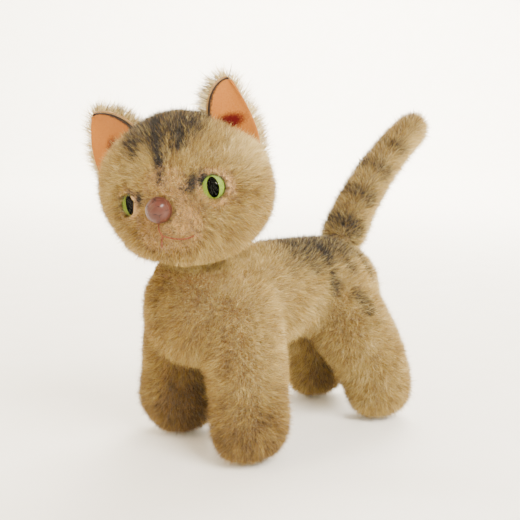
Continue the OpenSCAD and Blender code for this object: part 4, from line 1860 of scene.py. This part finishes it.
@dataclass(frozen=True)
class Ear:
    """An ear: a mohair back with a fringe of pile, lined with felt."""

    cut: EarCut
    felt: float = 0.8 * MM
    cloth: float = 0.6 * MM
    strand: float = 4.2 * MM

    def pile_face(self) -> Mesh:
        """Makes the face that the ear's pile grows from, with its coat."""
        face = self.cut.leaf("ear_pile_face", 0.4, 1.5, 0.97)
        uv = face.uv_layers["ear"].data
        spread = np.zeros(len(face.vertices))
        height = np.zeros(len(face.vertices))
        for loop in face.loops:
            spread[loop.vertex_index] = 2 * uv[loop.index].uv[0] - 1
            height[loop.vertex_index] = uv[loop.index].uv[1]
        face.flip_normals()
        turn = np.array(self.cut.place().to_3x3())
        side = self.cut.side.value
        edge = smooth_step(0.45, 1.0, np.abs(spread))
        near_tip = smooth_step(0.6, 0.95, height)
        sideways = side * np.sign(spread) * edge * 1.6
        outward = np.column_stack((sideways, -0.9 * edge - 0.5 * near_tip, 0.9 + 0.9 * near_tip))
        comb = outward @ turn.T
        dark = 0.3 * (1 - smooth_step(-0.6, 0.2, spread)) * (1 - near_tip * 0.5)
        coat = Coat(
            self.strand * (0.75 + 0.4 * np.maximum(edge, near_tip)),
            comb,
            dark,
            0.3 - 0.2 * np.maximum(edge, near_tip),
            1.0 + 1.5 * np.maximum(edge, near_tip),
        )
        coat.write(face, np.zeros((len(face.vertices), 3)))
        return face

    def build(self, finishes: Finishes) -> list[Object]:
        """Makes the back, its pile and the lining.

        Args:
            finishes: The cloth and pile finishes.

        Returns:
            The three pieces.
        """
        word = self.cut.side.word
        back = self.cut.leaf(f"ear_{word}_cloth", 0.4, 0.9, 0.98)
        back = reworked(back, "SOLIDIFY", thickness=self.cloth, offset=-1.0)
        back = reworked(back, "SUBSURF", levels=1, render_levels=1)
        back.materials.append(finishes.backing)
        lining = self.cut.leaf(f"ear_{word}_felt", 1.0, 0.0, 0.93)
        lining = reworked(lining, "SOLIDIFY", thickness=self.felt, offset=-1.0)
        lining = reworked(lining, "SUBSURF", levels=2, render_levels=2)
        lining.materials.append(PeachFelt(self.cut.red_spot()).material())
        cloth = new_object(f"ear_{word}_cloth", back)
        felt = new_object(f"ear_{word}_felt", lining)
        pile = Pile(per_mm2=13, lean=1.0, jitter=0.45, clump=0.5, seed=20 + self.cut.side.value)
        nap = pile.grow(f"ear_{word}_pile", self.pile_face(), finishes.strands)
        for piece, slot in ((cloth, "striped_mohair"), (felt, "peach_felt"), (nap, "striped_mohair")):
            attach(piece, "head")
        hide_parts(f"ear_back_{word}")
        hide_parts(f"ear_lining_{word}")
        return [cloth, felt, nap]


@dataclass(frozen=True)
class Hardware:
    """The hidden joint, wires and ties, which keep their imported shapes."""

    steel: tuple[str, ...] = (
        "body_washer",
        "head_washer",
        "cotter_pin",
        "eye_wire_left",
        "eye_wire_right",
        "nose_wire",
    )
    board: tuple[str, ...] = ("body_joint_disc", "head_joint_disc")
    thread: tuple[str, ...] = ("eye_tie_left", "eye_tie_right", "neck_drawstring")

    def build(self) -> list[Object]:
        """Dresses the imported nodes."""
        linen = Thread("waxed_linen", "#a8926a", "#d8c69c").material()
        dressed = []
        for names, material in (
            (self.steel, DulledSteel().material()),
            (self.board, Hardboard().material()),
            (self.thread, linen),
        ):
            for name in names:
                node = frame["nodes"][name]
                node.data.materials.clear()
                node.data.materials.append(material)
                dressed.append(node)
        return dressed


# ---------------------------------------------------------------- the studio


@dataclass(frozen=True)
class Studio:
    """Pale seamless floor, soft lights and the camera."""

    azimuth: float = math.radians(49.4)
    elevation: float = math.radians(9)
    distance: float = 0.3
    lens: float = 57.7
    right_by: float = 4.5 * MM
    down_by: float = 2.6 * MM
    aim: tuple[float, float, float] = (0.0, -9.5 * MM, 60 * MM)
    flat: float = 1.6
    bend: float = 0.6
    wall: float = 3.0
    grain: float = 30 * MM

    def camera(self) -> Object:
        """Places the camera low in front of the kitten's left shoulder."""
        across = Vector((math.cos(self.azimuth), math.sin(self.azimuth), 0))
        back = Vector((math.sin(self.azimuth), -math.cos(self.azimuth), 0)) * math.cos(self.elevation)
        back = back + Vector((0, 0, math.sin(self.elevation)))
        up = back.cross(across)
        target = Vector(self.aim) - across * self.right_by + up * self.down_by
        data = bpy.data.cameras.new("camera")
        data.lens = self.lens
        data.clip_start = 0.01
        camera = bpy.data.objects.new("camera", data)
        bpy.context.scene.collection.objects.link(camera)
        turn = Matrix((across, up, back)).transposed().to_4x4()
        camera.matrix_world = Matrix.Translation(target + back * self.distance) @ turn
        bpy.context.scene.camera = camera
        return camera

    def floor(self) -> Object:
        """Makes a seamless pale floor that curves up into walls far away."""
        surface = Surface(roughness=0.9, specular=0.1)
        material, tree, shader = surface.start("matte_backdrop_paint", "#f7f4ec")
        place = add_node(tree, "ShaderNodeTexCoord").outputs["Object"]
        grain = add_node(tree, "ShaderNodeTexNoise", Vector=place, Scale=1 / self.grain, **SPECKS)
        colour = add_node(tree, "ShaderNodeMix", grain, "#f4f0e6", "#faf8f2", data_type="RGBA")
        fill(tree, shader.inputs["Base Color"], colour)
        work = bmesh.new()
        profile = [(self.flat, 0.0)]
        for step in range(1, 13):
            angle = math.pi / 2 * step / 12
            profile.append((self.flat + self.bend * math.sin(angle), self.bend * (1 - math.cos(angle))))
        profile.append((self.flat + self.bend, self.wall))
        sides = 64
        loops = []
        for radius, height in profile:
            turns = [2 * math.pi * side / sides for side in range(sides)]
            spots = [(radius * math.cos(turn), radius * math.sin(turn), height) for turn in turns]
            loops.append([work.verts.new(spot) for spot in spots])
        work.faces.new(loops[0])
        for low, high in zip(loops, loops[1:]):
            for side in range(sides):
                after = (side + 1) % sides
                work.faces.new((low[side], low[after], high[after], high[side]))
        mesh = bpy.data.meshes.new("studio_floor")
        bmesh.ops.recalc_face_normals(work, faces=work.faces)
        bmesh.ops.reverse_faces(work, faces=work.faces)
        work.to_mesh(mesh)
        work.free()
        mesh.materials.append(material)
        for face in mesh.polygons:
            face.use_smooth = True
        floor = new_object("studio_floor", mesh)
        return floor

    def light(
        self,
        name: str,
        place: tuple[float, float, float],
        size: float,
        power: float,
        colour: str,
        aim: tuple[float, float, float] = (0.0, -0.01, 0.06),
    ) -> None:
        """Adds one soft square light.

        Args:
            name: Name of the light.
            place: Where it hangs.
            size: Length of its side.
            power: Watts.
            colour: sRGB hex.
            aim: What it faces.
        """
        data = bpy.data.lights.new(name, "AREA")
        data.size = size
        data.energy = power
        data.color = linear(colour)[:3]
        lamp = bpy.data.objects.new(name, data)
        bpy.context.scene.collection.objects.link(lamp)
        turn = (Vector(aim) - Vector(place)).to_track_quat("-Z", "Y")
        lamp.matrix_world = Matrix.Translation(place) @ turn.to_matrix().to_4x4()

    def build(self) -> None:
        """Makes the floor, the lights, the surrounding glow and the camera."""
        self.camera()
        self.floor()
        self.light("key", (0.75, -0.05, 0.7), 0.5, 23.0, "#fffaf4")
        self.light("fill", (-0.2, -0.9, 0.45), 0.7, 5.0, "#ffd49c")
        self.light("back", (-0.3, 0.7, 0.7), 0.6, 14.0, "#fffaf2")
        self.light("wall", (-0.75, 0.85, 1.3), 0.8, 150.0, "#fffaf2", aim=(-1.4, 1.6, 0.2))
        world = bpy.data.worlds.new("studio_glow")
        world.use_nodes = True
        background = world.node_tree.nodes["Background"]
        background.inputs["Color"].default_value = linear("#fff7ea")
        background.inputs["Strength"].default_value = 1.0
        bpy.context.scene.world = world


def main() -> None:
    """Builds the kitten's looks in order and reports each piece."""
    Studio().build()
    finishes = Finishes.make()
    made = {}
    for form in (Body(), Tail(), Head()):
        for piece in form.build(finishes):
            made[piece.name] = piece
    for cut in (
        EarCut(Side.LEFT, (11.5, 24.5), (26.0, 6.0), (20.8, 33.2), 24, (18.6, 19.4, 4.6, 2.3)),
        EarCut(Side.RIGHT, (13.0, 24.5), (29.5, 8.0), (28.6, 32.4), 14, (23.8, 18.6, 2.8, 4.2)),
    ):
        for piece in Ear(cut).build(finishes):
            made[piece.name] = piece
    faces = [made[f"head_{part}_cloth"] for part in ("side_left", "side_right", "gusset")]
    chest = [made[f"{panel}_cloth"] for panel in ("side_panel_left", "side_panel_right", "underbody_gusset")]
    for group in (
        Eye(Side.LEFT).build(),
        Eye(Side.RIGHT).build(),
        Nose().build(),
        Mouth().build(faces),
        ChestSeam().build(chest),
        Hardware().build(),
    ):
        for piece in group:
            made[piece.name] = piece
    for name, piece in made.items():
        LOG.info("%s: %d faces", name, len(piece.data.polygons))


if __name__ == "__main__":
    logging.basicConfig(level=logging.INFO, format="%(message)s")
    main()
